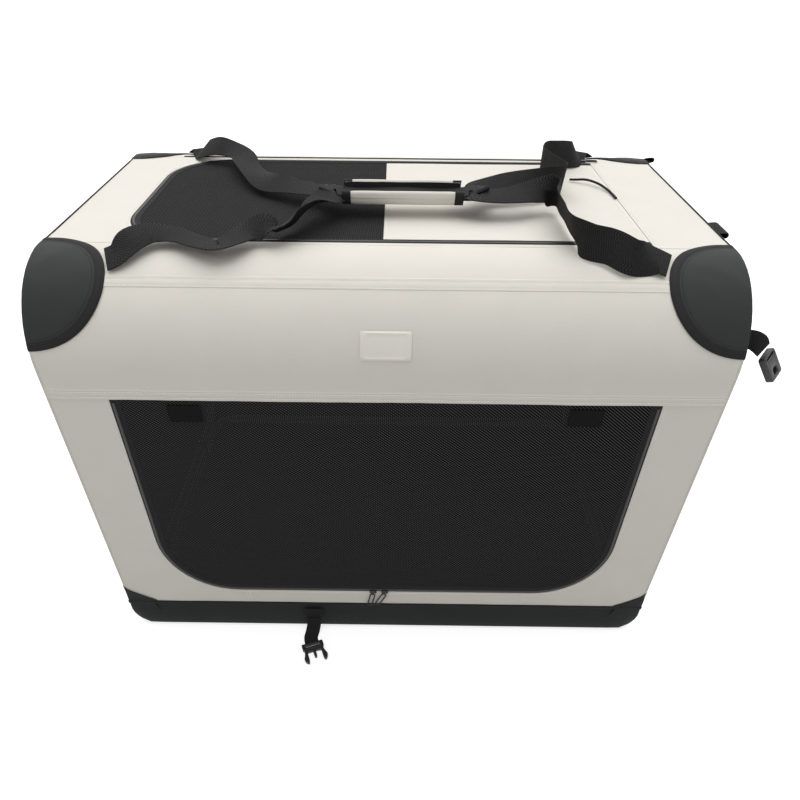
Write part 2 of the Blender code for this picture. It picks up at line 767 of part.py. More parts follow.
# The carry straps' slack on each side of the wrap. A row is the share of the way from the wrap's
# end to the guard along X, the share of the way from the handle's line to the sewn end along Y,
# the height above the roof, and the direction of the webbing's width.
FRONT_SLACK_LEFT = (
    (0.900, 0.814, 0.0118, -0.12, 0.85, 0.48),
    (0.811, 0.751, 0.0158, 0.00, 0.95, 0.30),
    (0.694, 0.705, 0.0098, 0.05, 0.98, 0.15),
    (0.539, 0.722, 0.0068, 0.00, 1.00, 0.10),
    (0.409, 0.620, 0.0098, -0.45, 0.85, 0.20),
    (0.286, 0.485, 0.0168, -0.65, 0.60, 0.45),
    (0.185, 0.300, 0.0238, -0.60, 0.45, 0.65),
    (0.115, 0.100, 0.0275, -0.15, 0.85, 0.40),
)
FRONT_SLACK_RIGHT = (
    (0.145, 0.068, 0.0253, 0.00, 0.95, 0.30),
    (0.288, 0.085, 0.0253, 0.00, 0.50, 0.87),
    (0.407, 0.057, 0.0253, 0.00, 0.10, 0.99),
    (0.499, 0.021, 0.0248, 0.00, -0.20, 0.98),
    (0.543, 0.122, 0.0243, 0.20, -0.10, 0.97),
    (0.547, 0.330, 0.0218, 0.55, 0.00, 0.83),
    (0.559, 0.553, 0.0188, 0.75, 0.15, 0.65),
    (0.601, 0.705, 0.0148, 0.65, 0.50, 0.57),
    (0.676, 0.795, 0.0118, 0.40, 0.72, 0.57),
    (0.784, 0.851, 0.0115, 0.20, 0.78, 0.58),
)
REAR_SLACK_LEFT = (
    (0.850, 0.900, 0.0150, 0.20, 0.85, -0.50),
    (0.770, 0.850, 0.0160, 0.60, 0.75, -0.25),
    (0.710, 0.757, 0.0128, 0.85, 0.50, 0.05),
    (0.640, 0.609, 0.0098, 0.93, 0.30, 0.20),
    (0.554, 0.433, 0.0098, 0.75, 0.60, 0.25),
    (0.437, 0.283, 0.0128, 0.55, 0.75, 0.35),
    (0.293, 0.156, 0.0158, 0.45, 0.80, 0.35),
    (0.146, 0.048, 0.0165, 0.20, 0.95, 0.15),
)
REAR_SLACK_RIGHT = (
    (0.168, 0.087, 0.0165, -0.10, 0.97, 0.15),
    (0.326, 0.193, 0.0208, -0.30, 0.45, 0.85),
    (0.503, 0.255, 0.0238, -0.15, 0.15, 0.98),
    (0.631, 0.324, 0.0238, -0.05, 0.10, 0.99),
    (0.701, 0.428, 0.0238, 0.15, 0.05, 0.98),
    (0.688, 0.534, 0.0238, 0.30, 0.10, 0.95),
    (0.638, 0.612, 0.0248, 0.35, 0.15, 0.92),
    (0.628, 0.699, 0.0268, 0.25, 0.25, 0.92),
    (0.700, 0.840, 0.0240, 0.10, 0.50, 0.80),
    (0.790, 0.900, 0.0210, -0.10, 0.85, 0.30),
    (0.880, 0.930, 0.0130, -0.25, 0.90, -0.35),
)
SEWN_RUN = 0.012
WRAP_RUN = 0.013


def sewn_end(side, sign, lift):
    """A strap's first two rows where it leaves a guard, square to the guard's rim.

    side is -1 at the front and 1 at the rear, sign is -1 at the left and 1 at the right, and lift
    is how far the second row stands off the shoulder.
    """
    turn = math.radians(STRAP_TURN)
    reach = GUARD_REACH + STRAP_INSET
    length = GUARD_CENTRE - (GUARD_HALF_HEIGHT + STRAP_INSET) * math.sin(turn)
    (y, z), (out_y, out_z) = seam_point(length, GAP + STRAP_THICKNESS, side)
    place = Vector((sign * (SKIN_X - reach * math.cos(turn)), y, z))
    along = Vector((-sign, 0.0, 0.0))
    uphill = Vector((0.0, -side * out_z, side * out_y))
    run = along * math.cos(turn) + uphill * math.sin(turn)
    across = -side * (uphill * math.cos(turn) - along * math.sin(turn))
    after = place + run * SEWN_RUN + Vector((0.0, out_y, out_z)) * lift
    return (*place, *across), (*after, *across)


def strap_route(side, left, right, level, rise, lift):
    """A carry strap's rows for ribbon(), from guard to guard through the wrap.

    level is the strap's height inside the wrap, and rise how much higher it goes in.
    """
    flat = (0.0, 1.0, 0.0)
    half = WRAP_LENGTH / 2

    def drawn(row, sewn, sign):
        out, aside, height = row[:3]
        start = WRAP_X + sign * half
        x = start + out * (sewn[0] - start)
        return (x, HANDLE_Y + aside * (sewn[1] - HANDLE_Y), SKIN_Z + height, *row[3:])

    first = sewn_end(side, -1, lift)
    last = sewn_end(side, 1, lift)
    route = list(first) + [drawn(row, first[0], -1) for row in left]
    route.append((WRAP_X - half - WRAP_RUN, HANDLE_Y, level + rise, *flat))
    for x in (WRAP_X - half, WRAP_X, WRAP_X + half):
        route.append((x, HANDLE_Y, level, *flat))
    route.append((WRAP_X + half + WRAP_RUN, HANDLE_Y, level + rise, *flat))
    return route + [drawn(row, last[0], 1) for row in right] + list(reversed(last))


def build_strap_handle(webbing, grey):
    """The two carry straps, from guard to guard, and the padded wrap that holds them."""
    above = HANDLE_Z + 0.004
    front = strap_route(-1, FRONT_SLACK_LEFT, FRONT_SLACK_RIGHT, above, 0.002, 0.003)
    rear = strap_route(1, REAR_SLACK_LEFT, REAR_SLACK_RIGHT, HANDLE_Z, 0.0, 0.005)
    ribbon("carry_strap_front", front, STRAP_WIDTH, STRAP_THICKNESS, webbing, STRAP_STEP)
    ribbon("carry_strap_rear", rear, STRAP_WIDTH, STRAP_THICKNESS, webbing, STRAP_STEP)
    build_wrap(grey)


def build_wrap(grey):
    """The padded handle wrap, open at its top: a U section with round lips, run along X."""
    bottom = SKIN_Z + WRAP_LIFT
    top = bottom + WRAP_DEPTH
    inner_half = STRAP_WIDTH / 2 + 4 * GAP
    outer_half = inner_half + WRAP_WALL
    outer_corner = WRAP_CORNER + WRAP_WALL
    inner_centre = (inner_half - WRAP_CORNER, bottom + outer_corner)
    inner = arc(inner_centre, WRAP_CORNER, -90, 0, 5) + [(inner_half, top)]
    sweep = arc((outer_half - outer_corner, bottom + outer_corner), outer_corner, -90, 0, 6)
    lip = arc((inner_half + WRAP_WALL / 2, top), WRAP_WALL / 2, 0, 180, 5)[1:-1]
    half_loop = sweep + [(outer_half, top)] + lip + list(reversed(inner))
    loop = [(HANDLE_Y + u, v) for u, v in half_loop]
    loop += [(HANDLE_Y - u, v) for u, v in reversed(half_loop)]
    plate("handle_wrap", [loop], "side", WRAP_X, WRAP_LENGTH, grey)


def build_roof_tie(black):
    """The thin cord sewn into the roof door's hinge, lying on the door."""
    radius = 0.0016
    level = SKIN_Z + GAP + radius
    route = (
        (ROOF_DOOR_HINGE - 0.003, -0.004, level),
        (ROOF_DOOR_HINGE - 0.004, 0.014, level),
        (ROOF_DOOR_HINGE - 0.008, 0.034, level + 0.001),
        (ROOF_DOOR_HINGE - 0.018, 0.054, level + 0.003),
        (ROOF_DOOR_HINGE - 0.032, 0.068, level + 0.003),
        (ROOF_DOOR_HINGE - 0.042, 0.074, level + 0.001),
        (ROOF_DOOR_HINGE - 0.050, 0.078, level),
    )
    points = smooth_route(route, 0.005)
    add(tube("roof_tie", points, radius, resolution=1), black)


def build_edge_tabs(webbing):
    """Two webbing tabs that stand out of the right end's top seam."""
    places = (("front", -EDGE_TAB_INSET, SKIN_X + GAP), ("rear", EDGE_TAB_DROP, GUARD_X + GAP))
    for end, length, start in places:
        side = -1 if end == "front" else 1
        (y, z), (out_y, out_z) = seam_point(length, -SKIN / 2, side)
        along = (0.0, out_z, -out_y)
        route = (
            (start, y, z, *along),
            (start + 0.006, y, z, *along),
            (start + 0.013, y, z - 0.002, *along),
        )
        ribbon(f"edge_tab_{end}", route, TAB_WIDTH, SLIM_THICKNESS, webbing)


def prong_outline(width, reach):
    """Half of a side-release buckle's male end in (across, along), from the bar to the tip."""
    half = width / 2
    return [
        (half, 0.0),
        (half, 0.010),
        (half - 0.0015, 0.0125),
        (half - 0.001, 0.019),
        (half + 0.0015, 0.026),
        (half + 0.001, 0.031),
        (half - 0.003, reach),
        (half - 0.0062, reach - 0.003),
        (half - 0.0062, 0.016),
        (0.0022, 0.016),
        (0.0016, reach - 0.008),
    ]


def build_front_buckle(webbing, plastic):
    """The keeper on the tray, its webbing down to the floor, and the male buckle half."""
    front = -(OUTER_Y + GAP + KEEPER_DEPTH)
    keeper = block(
        "front_keeper",
        (KEEPER_X - KEEPER_WIDTH / 2, front, KEEPER_BOTTOM),
        (KEEPER_X + KEEPER_WIDTH / 2, front + KEEPER_DEPTH, KEEPER_BOTTOM + KEEPER_HEIGHT),
        bevel=0.0008,
    )
    add(keeper, webbing)
    lift = SLIM_LIFT + SLIM_THICKNESS / 2
    yaw = math.radians(BUCKLE_YAW)
    turned = (math.cos(yaw), math.sin(yaw), 0.0)
    end = (KEEPER_X - 0.0025, front - 0.032)
    route = (
        (KEEPER_X, front - 0.0020, KEEPER_BOTTOM - 0.0025, 1.0, 0.0, 0.0),
        (KEEPER_X - 0.001, front - 0.0035, KEEPER_BOTTOM / 2, 1.0, 0.0, 0.0),
        (KEEPER_X - 0.003, front - 0.0085, 0.0035, 1.0, 0.05, 0.0),
        (KEEPER_X - 0.005, front - 0.0200, lift, 0.98, 0.17, 0.0),
        (*end, lift, *turned),
    )
    ribbon("front_webbing", route, SLIM_WIDTH, SLIM_THICKNESS, webbing)
    half = prong_outline(BUCKLE_WIDTH, BUCKLE_REACH)
    loop = [(u, v) for u, v in half] + [(-u, v) for u, v in reversed(half)]
    slot = rounded_rectangle(BUCKLE_WIDTH / 2 - 0.005, 0.0018, 0.001, 2, (0.0, 0.0055))
    made = plate(
        "front_buckle", [loop, slot], "up", BUCKLE_THICKNESS / 2, BUCKLE_THICKNESS, plastic
    )
    clear = 2 * GAP
    start = (end[0] + clear * math.sin(yaw), end[1] - clear * math.cos(yaw), SLIM_LIFT)
    made.matrix_world = (
        Matrix.Translation(start)
        @ Matrix.Rotation(math.radians(180 + BUCKLE_YAW), 4, "Z")
        @ made.matrix_world
    )


def build_end_buckle(webbing, plastic):
    """The webbing at the right front guard and the female buckle half that hangs from it."""
    y = END_WEBBING_INSET - OUTER_Y
    z = SKIN_Z - END_WEBBING_DROP
    start_x = GUARD_X + GAP
    route = (
        (start_x, y, z, 0.0, 0.0, 1.0),
        (start_x + 0.010, y - 0.002, z, 0.05, 0.05, 0.99),
        (start_x + 0.019, y - 0.004, z - 0.004, 0.25, 0.25, 0.90),
        (start_x + 0.026, y - 0.006, z - 0.011, 0.45, 0.55, 0.65),
    )
    ribbon("end_webbing", route, SLIM_WIDTH, SLIM_THICKNESS, webbing)
    across_half = SOCKET_WIDTH / 2
    along_half = SOCKET_LENGTH / 2
    outline = rounded_rectangle(across_half, along_half, 0.003, 3)
    slot = rounded_rectangle(across_half - 0.0037, 0.0016, 0.001, 2, (0.0, along_half - 0.0045))
    window = rounded_rectangle(0.0040, 0.0045, 0.0015, 3, (0.0, -0.0075))
    made = plate("end_buckle", [outline, slot, window], "front", 0.0, SOCKET_THICKNESS, plastic)
    up = Vector((-0.55, 0.12, 0.80)).normalized()
    across = Vector((0.55, 0.65, 0.30))
    across = (across - across.dot(up) * up).normalized()
    deep = up.cross(across)
    place = Vector((start_x + 0.0395, y - 0.009, z - 0.029))
    turn = Matrix((across, deep, up)).transposed().to_4x4()
    made.matrix_world = Matrix.Translation(place) @ turn @ made.matrix_world


def build_sliders(metal):
    """Zip sliders and pulls: two at the front door's foot, two at the roof door's hinge end."""
    face = -(SKIN_Y + GAP)
    top = DOOR_BOTTOM_Z + SLIDER_RISE
    for side, x in zip(("left", "right"), FRONT_SLIDER_X):
        body = block(
            f"front_slider_{side}",
            (x - SLIDER_LENGTH / 2, face - SLIDER_HEIGHT, top - SLIDER_WIDTH),
            (x + SLIDER_LENGTH / 2, face, top),
            bevel=0.0008,
        )
        add(body, metal)
        low = top - SLIDER_WIDTH - PULL_GAP
        centre = (x, low - PULL_LENGTH / 2)
        outline = rounded_rectangle(PULL_WIDTH / 2, PULL_LENGTH / 2, 0.0025, 4, centre)
        eye = rounded_rectangle(0.0014, 0.0030, 0.001, 2, (x, low - 0.0055))
        level = -(OUTER_Y + GAP + PULL_THICKNESS / 2)
        plate(f"front_pull_{side}", [outline, eye], "front", level, PULL_THICKNESS, metal)
    inner_y = ROOF_DOOR_Y + GAP
    for side, back in zip(("left", "right"), ROOF_SLIDER_BACK):
        x = ROOF_DOOR_HINGE - back
        low = (x - SLIDER_LENGTH / 2, inner_y, SKIN_Z + GAP)
        high = (x + SLIDER_LENGTH / 2, inner_y + SLIDER_WIDTH, SKIN_Z + GAP + SLIDER_HEIGHT)
        add(block(f"roof_slider_{side}", low, high, bevel=0.0008), metal)


def build_all():
    grey = material("grey_fabric", (0.600, 0.570, 0.520), 0.85)
    black = material("black_fabric", (0.045, 0.045, 0.043), 0.8)
    webbing = material("black_webbing", (0.020, 0.020, 0.021), 0.7)
    net = material("black_mesh", (0.025, 0.026, 0.025), 0.75)
    board = material("floor_board", (0.050, 0.050, 0.052), 0.9)
    steel = material("tube_steel", (0.35, 0.35, 0.36), 0.35, 0.9)
    plastic = material("black_plastic", (0.018, 0.018, 0.018), 0.4)
    metal = material("zip_metal", (0.030, 0.030, 0.030), 0.35, 0.6)
    build_tray(black)
    build_floor(board)
    build_frames(steel)
    build_knee_pins(steel)
    build_base_clips(plastic)
    build_roof_rails(steel, plastic)
    build_front(grey)
    build_rear(grey)
    build_ends(grey, net)
    build_roof(grey, net, black)
    build_front_door(net, black)
    build_guards(black)
    build_label(black)
    build_strap_handle(webbing, grey)
    build_roof_tie(black)
    build_edge_tabs(webbing)
    build_front_buckle(webbing, plastic)
    build_end_buckle(webbing, plastic)
    build_sliders(metal)


clear_scene()
PARTS = new_collection("soft_dog_crate")
CUTTERS = new_collection("cutters")
build_all()
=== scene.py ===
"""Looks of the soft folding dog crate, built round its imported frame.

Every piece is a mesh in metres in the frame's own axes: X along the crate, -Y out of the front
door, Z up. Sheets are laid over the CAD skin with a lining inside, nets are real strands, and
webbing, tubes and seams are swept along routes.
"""
import json
import math

import bmesh
import bpy
from mathutils import Matrix, Vector, noise


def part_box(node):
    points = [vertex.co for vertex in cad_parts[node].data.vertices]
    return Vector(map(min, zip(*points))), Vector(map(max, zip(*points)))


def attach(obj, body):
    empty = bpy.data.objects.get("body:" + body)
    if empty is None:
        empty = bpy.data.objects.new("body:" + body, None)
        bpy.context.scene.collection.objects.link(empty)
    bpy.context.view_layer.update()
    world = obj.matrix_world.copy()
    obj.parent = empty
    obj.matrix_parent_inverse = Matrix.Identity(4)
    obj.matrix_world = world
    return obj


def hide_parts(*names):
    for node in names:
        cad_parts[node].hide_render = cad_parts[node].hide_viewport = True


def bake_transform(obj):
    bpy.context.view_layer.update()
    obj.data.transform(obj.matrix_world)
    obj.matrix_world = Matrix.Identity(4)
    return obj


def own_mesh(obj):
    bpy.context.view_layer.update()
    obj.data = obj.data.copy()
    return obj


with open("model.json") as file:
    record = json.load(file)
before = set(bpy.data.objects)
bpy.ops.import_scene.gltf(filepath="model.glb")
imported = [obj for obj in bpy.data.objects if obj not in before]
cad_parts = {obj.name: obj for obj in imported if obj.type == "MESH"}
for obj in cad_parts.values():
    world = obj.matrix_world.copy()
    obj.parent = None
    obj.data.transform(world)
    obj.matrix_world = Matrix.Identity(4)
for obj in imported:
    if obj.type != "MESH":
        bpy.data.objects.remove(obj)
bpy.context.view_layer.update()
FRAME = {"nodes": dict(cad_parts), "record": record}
SIDES = (("left", -1), ("right", 1))
ENDS = (("front", -1), ("rear", 1))
CORNERS = [(f"{side}_{end}", sx, sy) for side, sx in SIDES for end, sy in ENDS]

# Sizes read from the frame
TRAY_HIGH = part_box("base_tray")[1]
SKIN_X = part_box("end_wall_right")[1].x
SKIN_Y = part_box("rear_wall")[1].y
SKIN_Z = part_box("roof_panel")[1].z
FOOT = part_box("rear_wall")[0].z
WRAP_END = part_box("rear_wall")[1].x
ROOF_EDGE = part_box("roof_panel")[1].y
HEM_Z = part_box("front_flap")[0].z
DOOR_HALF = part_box("front_door_tape")[1].x
DOOR_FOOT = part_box("front_door_tape")[0].z
ROOF_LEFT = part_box("roof_door_tape")[0].x
ROOF_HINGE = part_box("roof_door_panel")[1].x
ROOF_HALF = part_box("roof_door_tape")[1].y
ROOF_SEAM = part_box("roof_door_panel")[0].x
WINDOW_LOW, WINDOW_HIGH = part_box("end_mesh_right")

# Sizes repeated from the part's source
SKIN = 0.0016
GAP = 0.0004
ROOF_RIM = 0.004
DOOR_CORNER = 0.105
ROOF_CORNER = 0.090
WINDOW_CORNER = 0.068
WINDOW_SEAM = 0.008
TAPE = 0.012
GUARD_HALF_HEIGHT = 0.0795
GUARD_REACH = 0.0905
GUARD_ANGLE = 34.6
GUARD_LIFT = 0.0006
STRAP_WIDTH = 0.038
STRAP_THICKNESS = 0.0016
STRAP_TURN = 20.0
STRAP_INSET = 0.002
SEWN_RUN = 0.012
WRAP_RUN = 0.013
HANDLE_Y = -0.054
HANDLE_LIFT = 0.0180
WRAP_X = 0.018
WRAP_LENGTH = 0.150
WRAP_LIFT = 0.0105
WRAP_DEPTH = 0.016
WRAP_WALL = 0.0035
WRAP_CORNER = 0.005
SLIM_WIDTH = 0.022
SLIM_THICKNESS = 0.0014
SLIM_LIFT = 0.0004
KEEPER_X = -0.113
KEEPER_DEPTH = 0.003
BUCKLE_YAW = 20.0
END_WEBBING_INSET = 0.028
END_WEBBING_DROP = 0.0692

# Sizes that follow
SHOULDER = SKIN_Y - ROOF_EDGE - ROOF_RIM
SEAM_Y = SKIN_Y - SHOULDER
SHOULDER_Z = SKIN_Z - SHOULDER
SHOULDER_LENGTH = SHOULDER * math.pi / 2
HEM_LENGTH = SHOULDER_LENGTH + SHOULDER_Z - HEM_Z
WALL_LENGTH = SHOULDER_LENGTH + SHOULDER_Z - FOOT
GUARD_CENTRE = SHOULDER * math.radians(GUARD_ANGLE)
HANDLE_Z = SKIN_Z + HANDLE_LIFT
WRAP_FROM, WRAP_TO = WRAP_X - WRAP_LENGTH / 2, WRAP_X + WRAP_LENGTH / 2

# Cloth details
CLOTH_STEP = 0.011
NET_PITCH = 0.0030
NET_STRAND = 0.0013
NET_ANGLE = 39.0
END_NET_PITCH = 0.0021
END_NET_STRAND = 0.0011
STITCH_PITCH = 0.0034
STITCH_LENGTH = 0.0024
STITCH_WIDTH = 0.0009
STITCH_HEIGHT = 0.0006
STITCH_STEP = 0.006
ROUTE_STEP = 0.002
COIL_LINE = TAPE * 0.30
COIL_GAP = 0.004
COIL_PITCH = 0.0009
COIL_HALF_WIDTH = 0.0019
COIL_HEIGHT = 0.0013
ZIP_SEAM_LINE = TAPE * 0.78
NET_HEM = 0.001
EDGE_FADE = 0.03
LINE_INSET = 0.004
PIPING_LIFT = 0.0002
TRAY_THICKNESS = 0.0011
TAB_THICKNESS = 0.0013
KEEPER_THICKNESS = 0.0024
SEAM_LINE = 0.0565
FLAP_LINES = (SEAM_LINE + 0.0035, SEAM_LINE + 0.0115, HEM_LENGTH - 0.0100, HEM_LENGTH - 0.0035)
REAR_LINES = (SEAM_LINE + 0.0035, SEAM_LINE + 0.0095, WALL_LENGTH - 0.016)


# Materials


def principled(name, color, roughness, metallic=0.0, sheen=0.0, specular=0.5):
    made = bpy.data.materials.new(name)
    made.use_nodes = True
    shader = made.node_tree.nodes["Principled BSDF"]
    shader.inputs["Base Color"].default_value = (*color, 1.0)
    shader.inputs["Roughness"].default_value = roughness
    shader.inputs["Metallic"].default_value = metallic
    shader.inputs["Specular IOR Level"].default_value = specular
    shader.inputs["Sheen Weight"].default_value = sheen
    shader.inputs["Sheen Roughness"].default_value = 0.5
    return made


def scaled(color, share):
    return tuple(c * share for c in color)


def maths(tree, operation, *values):
    """A sum on sockets and numbers."""
    made = tree.nodes.new("ShaderNodeMath")
    made.operation = operation
    for value, socket in zip(values, made.inputs):
        if isinstance(value, float):
            socket.default_value = value
        else:
            tree.links.new(value, socket)
    return made.outputs[0]


def mixed(tree, share, low, high):
    made = tree.nodes.new("ShaderNodeMix")
    made.data_type = "RGBA"
    made.inputs[6].default_value = (*low, 1.0)
    made.inputs[7].default_value = (*high, 1.0)
    tree.links.new(share, made.inputs["Factor"])
    return made.outputs[2]


def joined(tree, *parts):
    made = tree.nodes.new("ShaderNodeCombineXYZ")
    for part, socket in zip(parts, made.inputs):
        tree.links.new(part, socket)
    return made.outputs[0]


def place_on(tree, kind="UV"):
    return tree.nodes.new("ShaderNodeTexCoord").outputs[kind]


def uv_parts(tree):
    made = tree.nodes.new("ShaderNodeSeparateXYZ")
    tree.links.new(place_on(tree), made.inputs[0])
    return made.outputs["X"], made.outputs["Y"]


def wave(tree, direction, pitch, coordinates):
    made = tree.nodes.new("ShaderNodeTexWave")
    made.wave_type = "BANDS"
    made.bands_direction = direction
    made.wave_profile = "SIN"
    made.inputs["Scale"].default_value = math.pi / 10 / pitch
    tree.links.new(coordinates, made.inputs["Vector"])
    return made.outputs["Fac"]


def cloud(tree, coordinates, size, detail):
    made = tree.nodes.new("ShaderNodeTexNoise")
    made.inputs["Scale"].default_value = 1.0 / size
    made.inputs["Detail"].default_value = detail
    tree.links.new(coordinates, made.inputs["Vector"])
    return made.outputs["Fac"]


def blotches(tree, coordinates, color, spread, size):
    """A colour that wanders a little round its mean, over patches about size across."""
    share = cloud(tree, coordinates, size, 4.0)
    return mixed(tree, share, scaled(color, 1 - spread), scaled(color, 1 + spread))


def paint(made, color, heights=None, distance=0.0, strength=0.0):
    """Give a material's shader a colour, and a relief where there are heights."""
    tree = made.node_tree
    shader = tree.nodes["Principled BSDF"]
    tree.links.new(color, shader.inputs["Base Color"])
    if heights:
        relief = tree.nodes.new("ShaderNodeBump")
        relief.inputs["Distance"].default_value = distance
        relief.inputs["Strength"].default_value = strength
        tree.links.new(heights, relief.inputs["Height"])
        tree.links.new(relief.outputs["Normal"], shader.inputs["Normal"])
    return made


def woven(name, color, pitch, roughness, sheen, spread=0.05):
    """Plain-woven cloth: crossed threads, colour that varies by patch and by thread."""
    made = principled(name, color, roughness, sheen=sheen, specular=0.12)
    tree = made.node_tree
    place = place_on(tree)
    threads = maths(tree, "ADD", wave(tree, "X", pitch, place), wave(tree, "Y", pitch, place))
    heights = maths(tree, "ADD", threads, cloud(tree, place, pitch / 0.35, 3.0))
    return paint(made, blotches(tree, place, color, spread, 0.05), heights, 0.00025, 0.5)


def ribbed(name, color, pitch, roughness):
    """Webbing: ribs across its length, drawn into a herringbone, with painted shade in the rib
    hollows and painted highlight on the rib crests.
    """
    made = principled(name, color, roughness, specular=0.1)
    tree = made.node_tree
    x, y = uv_parts(tree)
    fold = maths(tree, "PINGPONG", x, STRAP_WIDTH / 8)
    slanted = joined(tree, x, maths(tree, "MULTIPLY_ADD", fold, 0.45, y))
    ribs = wave(tree, "Y", pitch, slanted)
    # Painted shade and highlight: the colour runs from a third of the webbing's own in the hollows
    # to twice it on the crests.
    shade = mixed(tree, ribs, scaled(color, 0.35), scaled(color, 2.0))
    return paint(made, shade, ribs, 0.0005, 0.9)


def grained(name, color, roughness, metallic=0.0, size=0.0012, depth=0.00006, specular=0.5):
    """Moulded plastic or painted metal with a fine grain, for meshes without a UV map."""
    made = principled(name, color, roughness, metallic, specular=specular)
    tree = made.node_tree
    place = place_on(tree, "Object")
    grain = cloud(tree, place, size, 2.0)
    return paint(made, blotches(tree, place, color, 0.06, 0.03), grain, depth, 0.4)


def knitted(name, dark, glint_colour, roughness):
    """Open knit seen from the front: dark strands with a painted highlight wherever two cross, a
    lighter colour standing in for light caught on the crossing threads.
    """
    made = principled(name, dark, roughness, specular=0.02)
    tree = made.node_tree
    glint_masks = []
    for part, least in zip(uv_parts(tree), (0.4, 0.0)):
        glint_mask = tree.nodes.new("ShaderNodeMapRange")
        glint_mask.inputs["From Min"].default_value = 0.55
        glint_mask.inputs["From Max"].default_value = 0.10
        glint_mask.inputs["To Min"].default_value = least
        tree.links.new(wave(tree, "X", NET_PITCH, joined(tree, part)), glint_mask.inputs["Value"])
        glint_masks.append(glint_mask.outputs["Result"])
    # Painted highlight: the strands' colour is lifted to the lighter colour where two strands
    # cross.
    return paint(made, mixed(tree, maths(tree, "MULTIPLY", *glint_masks), dark, glint_colour))


def even(level):
    return (level, level, level)


GREY_COLOR = (0.700, 0.672, 0.615)
GREY = woven("grey_cloth", GREY_COLOR, 0.0009, 0.82, 0.05, 0.03)
GREY_TRIM = woven("grey_trim", scaled(GREY_COLOR, 0.92), 0.0007, 0.85, 0.05)
GREY_PATCH = woven("grey_patch", scaled(GREY_COLOR, 1.16), 0.0006, 0.7, 0.05)
LINING = woven("dark_lining", even(0.006), 0.0009, 0.8, 0.0)
BLACK = woven("black_cloth", (0.030, 0.031, 0.031), 0.0010, 0.62, 0.05, 0.12)
BLACK_BAND = woven("black_binding", even(0.020), 0.0007, 0.7, 0.03, 0.15)
TRAY_CLOTH = woven("tray_cloth", (0.0140, 0.0158, 0.0150), 0.0010, 0.6, 0.01, 0.12)
WEBBING = ribbed("black_webbing", even(0.0125), 0.0026, 0.7)
TAB_CLOTH = woven("tab_cloth", even(0.004), 0.0008, 0.8, 0.0)
# The net's second colour is a painted highlight at each crossing of its strands.
NET = knitted("black_net", (0.0030, 0.0032, 0.0031), (0.098, 0.102, 0.099), 0.7)
END_NET = grained("end_net", (0.009, 0.0094, 0.009), 0.7, specular=0.03)
THREADS = {
    "grey": principled("grey_thread", (0.95, 0.93, 0.88), 0.7, specular=0.1),
    "black": principled("black_thread", even(0.022), 0.6, specular=0.2),
}
ZIP_TAPE = woven("zip_tape", even(0.018), 0.0008, 0.75, 0.03, 0.15)
ZIP_COIL = principled("zip_coil", even(0.018), 0.35)
BOARD = grained("floor_mat", (0.008, 0.0083, 0.0085), 0.9, size=0.004, depth=0.0004, specular=0.1)
STEEL = grained("painted_tube", (0.060, 0.060, 0.062), 0.38, 0.3)
PLASTIC = grained("black_plastic", even(0.011), 0.38)
METAL = grained("zip_metal", even(0.020), 0.32, 0.6)


# Places on the crate


def steps(start, end, count):
    """Numbers from start to end, in count even steps."""
    return [start + (end - start) * k / count for k in range(count + 1)]


def seam_point(length, outset=0.0, side=-1):
    """A place (y, z) and its outward normal, length along the profile from the roof's edge."""
    turn = length / SHOULDER
    if turn < 0:
        return (side * (SEAM_Y + length), SKIN_Z + outset), (0.0, 1.0)
    if turn > math.pi / 2:
        return (side * (SKIN_Y + outset), SHOULDER_Z - length + SHOULDER_LENGTH), (float(side), 0.0)
    out = (side * math.sin(turn), math.cos(turn))
    reach = SHOULDER + outset
    return (side * SEAM_Y + reach * out[0], SHOULDER_Z + reach * out[1]), out


def on_profile(x, length, outset=0.0, side=-1):
    (y, z), (out_y, out_z) = seam_point(length, outset, side)
    return Vector((x, y, z)), Vector((0.0, out_y, out_z))


def on_roof(x, y, outset=0.0):
    return Vector((x, y, SKIN_Z + outset)), Vector((0.0, 0.0, 1.0))


def on_front(x, z, outset=0.0):
    return Vector((x, -(SKIN_Y + outset), z)), Vector((0.0, -1.0, 0.0))


def on_end(sign):
    """Places on an end wall, drawn in (y, z)."""
    out = Vector((float(sign), 0.0, 0.0))
    return lambda y, z, outset=0.0: (Vector((sign * (SKIN_X + outset), y, z)), out)


def arc(centre, radius, start, end, count):
    turns = [math.radians(turn) for turn in steps(start, end, count)]
    return [(centre[0] + radius * math.cos(t), centre[1] + radius * math.sin(t)) for t in turns]


def rounded_rectangle(half_u, half_v, radius, count=6, centre=(0.0, 0.0)):
    points = []
    for su, sv, start in ((1, 1, 0), (-1, 1, 90), (-1, -1, 180), (1, -1, 270)):
        corner = (centre[0] + su * (half_u - radius), centre[1] + sv * (half_v - radius))
        points += arc(corner, radius, start, start + 90, count)
    return points


def spaced(points, step, closed=False):
    """The same outline with points added so that none are further than step apart."""
    made = []
    ends = points[1:] + points[:1] if closed else points[1:]
    for a, b in zip(points, ends):
        count = max(1, math.ceil(math.dist(a, b) / step))
        made += [tuple(p + (q - p) * k / count for p, q in zip(a, b)) for k in range(count)]
    return made if closed else made + [points[-1]]


def crossings(start, run, outline):
    """Where a line crosses an outline: how far along run, and the share of the side crossed."""
    for a, b in zip(outline, outline[1:] + outline[:1]):
        edge = (b[0] - a[0], b[1] - a[1])
        to = (a[0] - start[0], a[1] - start[1])
        cross = run[0] * edge[1] - run[1] * edge[0]
        if abs(cross) > 1e-12:
            yield ((to[0] * edge[1] - to[1] * edge[0]) / cross,
                   (to[0] * run[1] - to[1] * run[0]) / cross)


def ray_hit(centre, through, outline):
    """Where the ray from centre through a place leaves an outline."""
    run = (through[0] - centre[0], through[1] - centre[1])
    hits = [far for far, share in crossings(centre, run, outline) if -1e-6 <= share <= 1.000001]
    best = max([0.0, *hits])
    return (centre[0] + best * run[0], centre[1] + best * run[1])


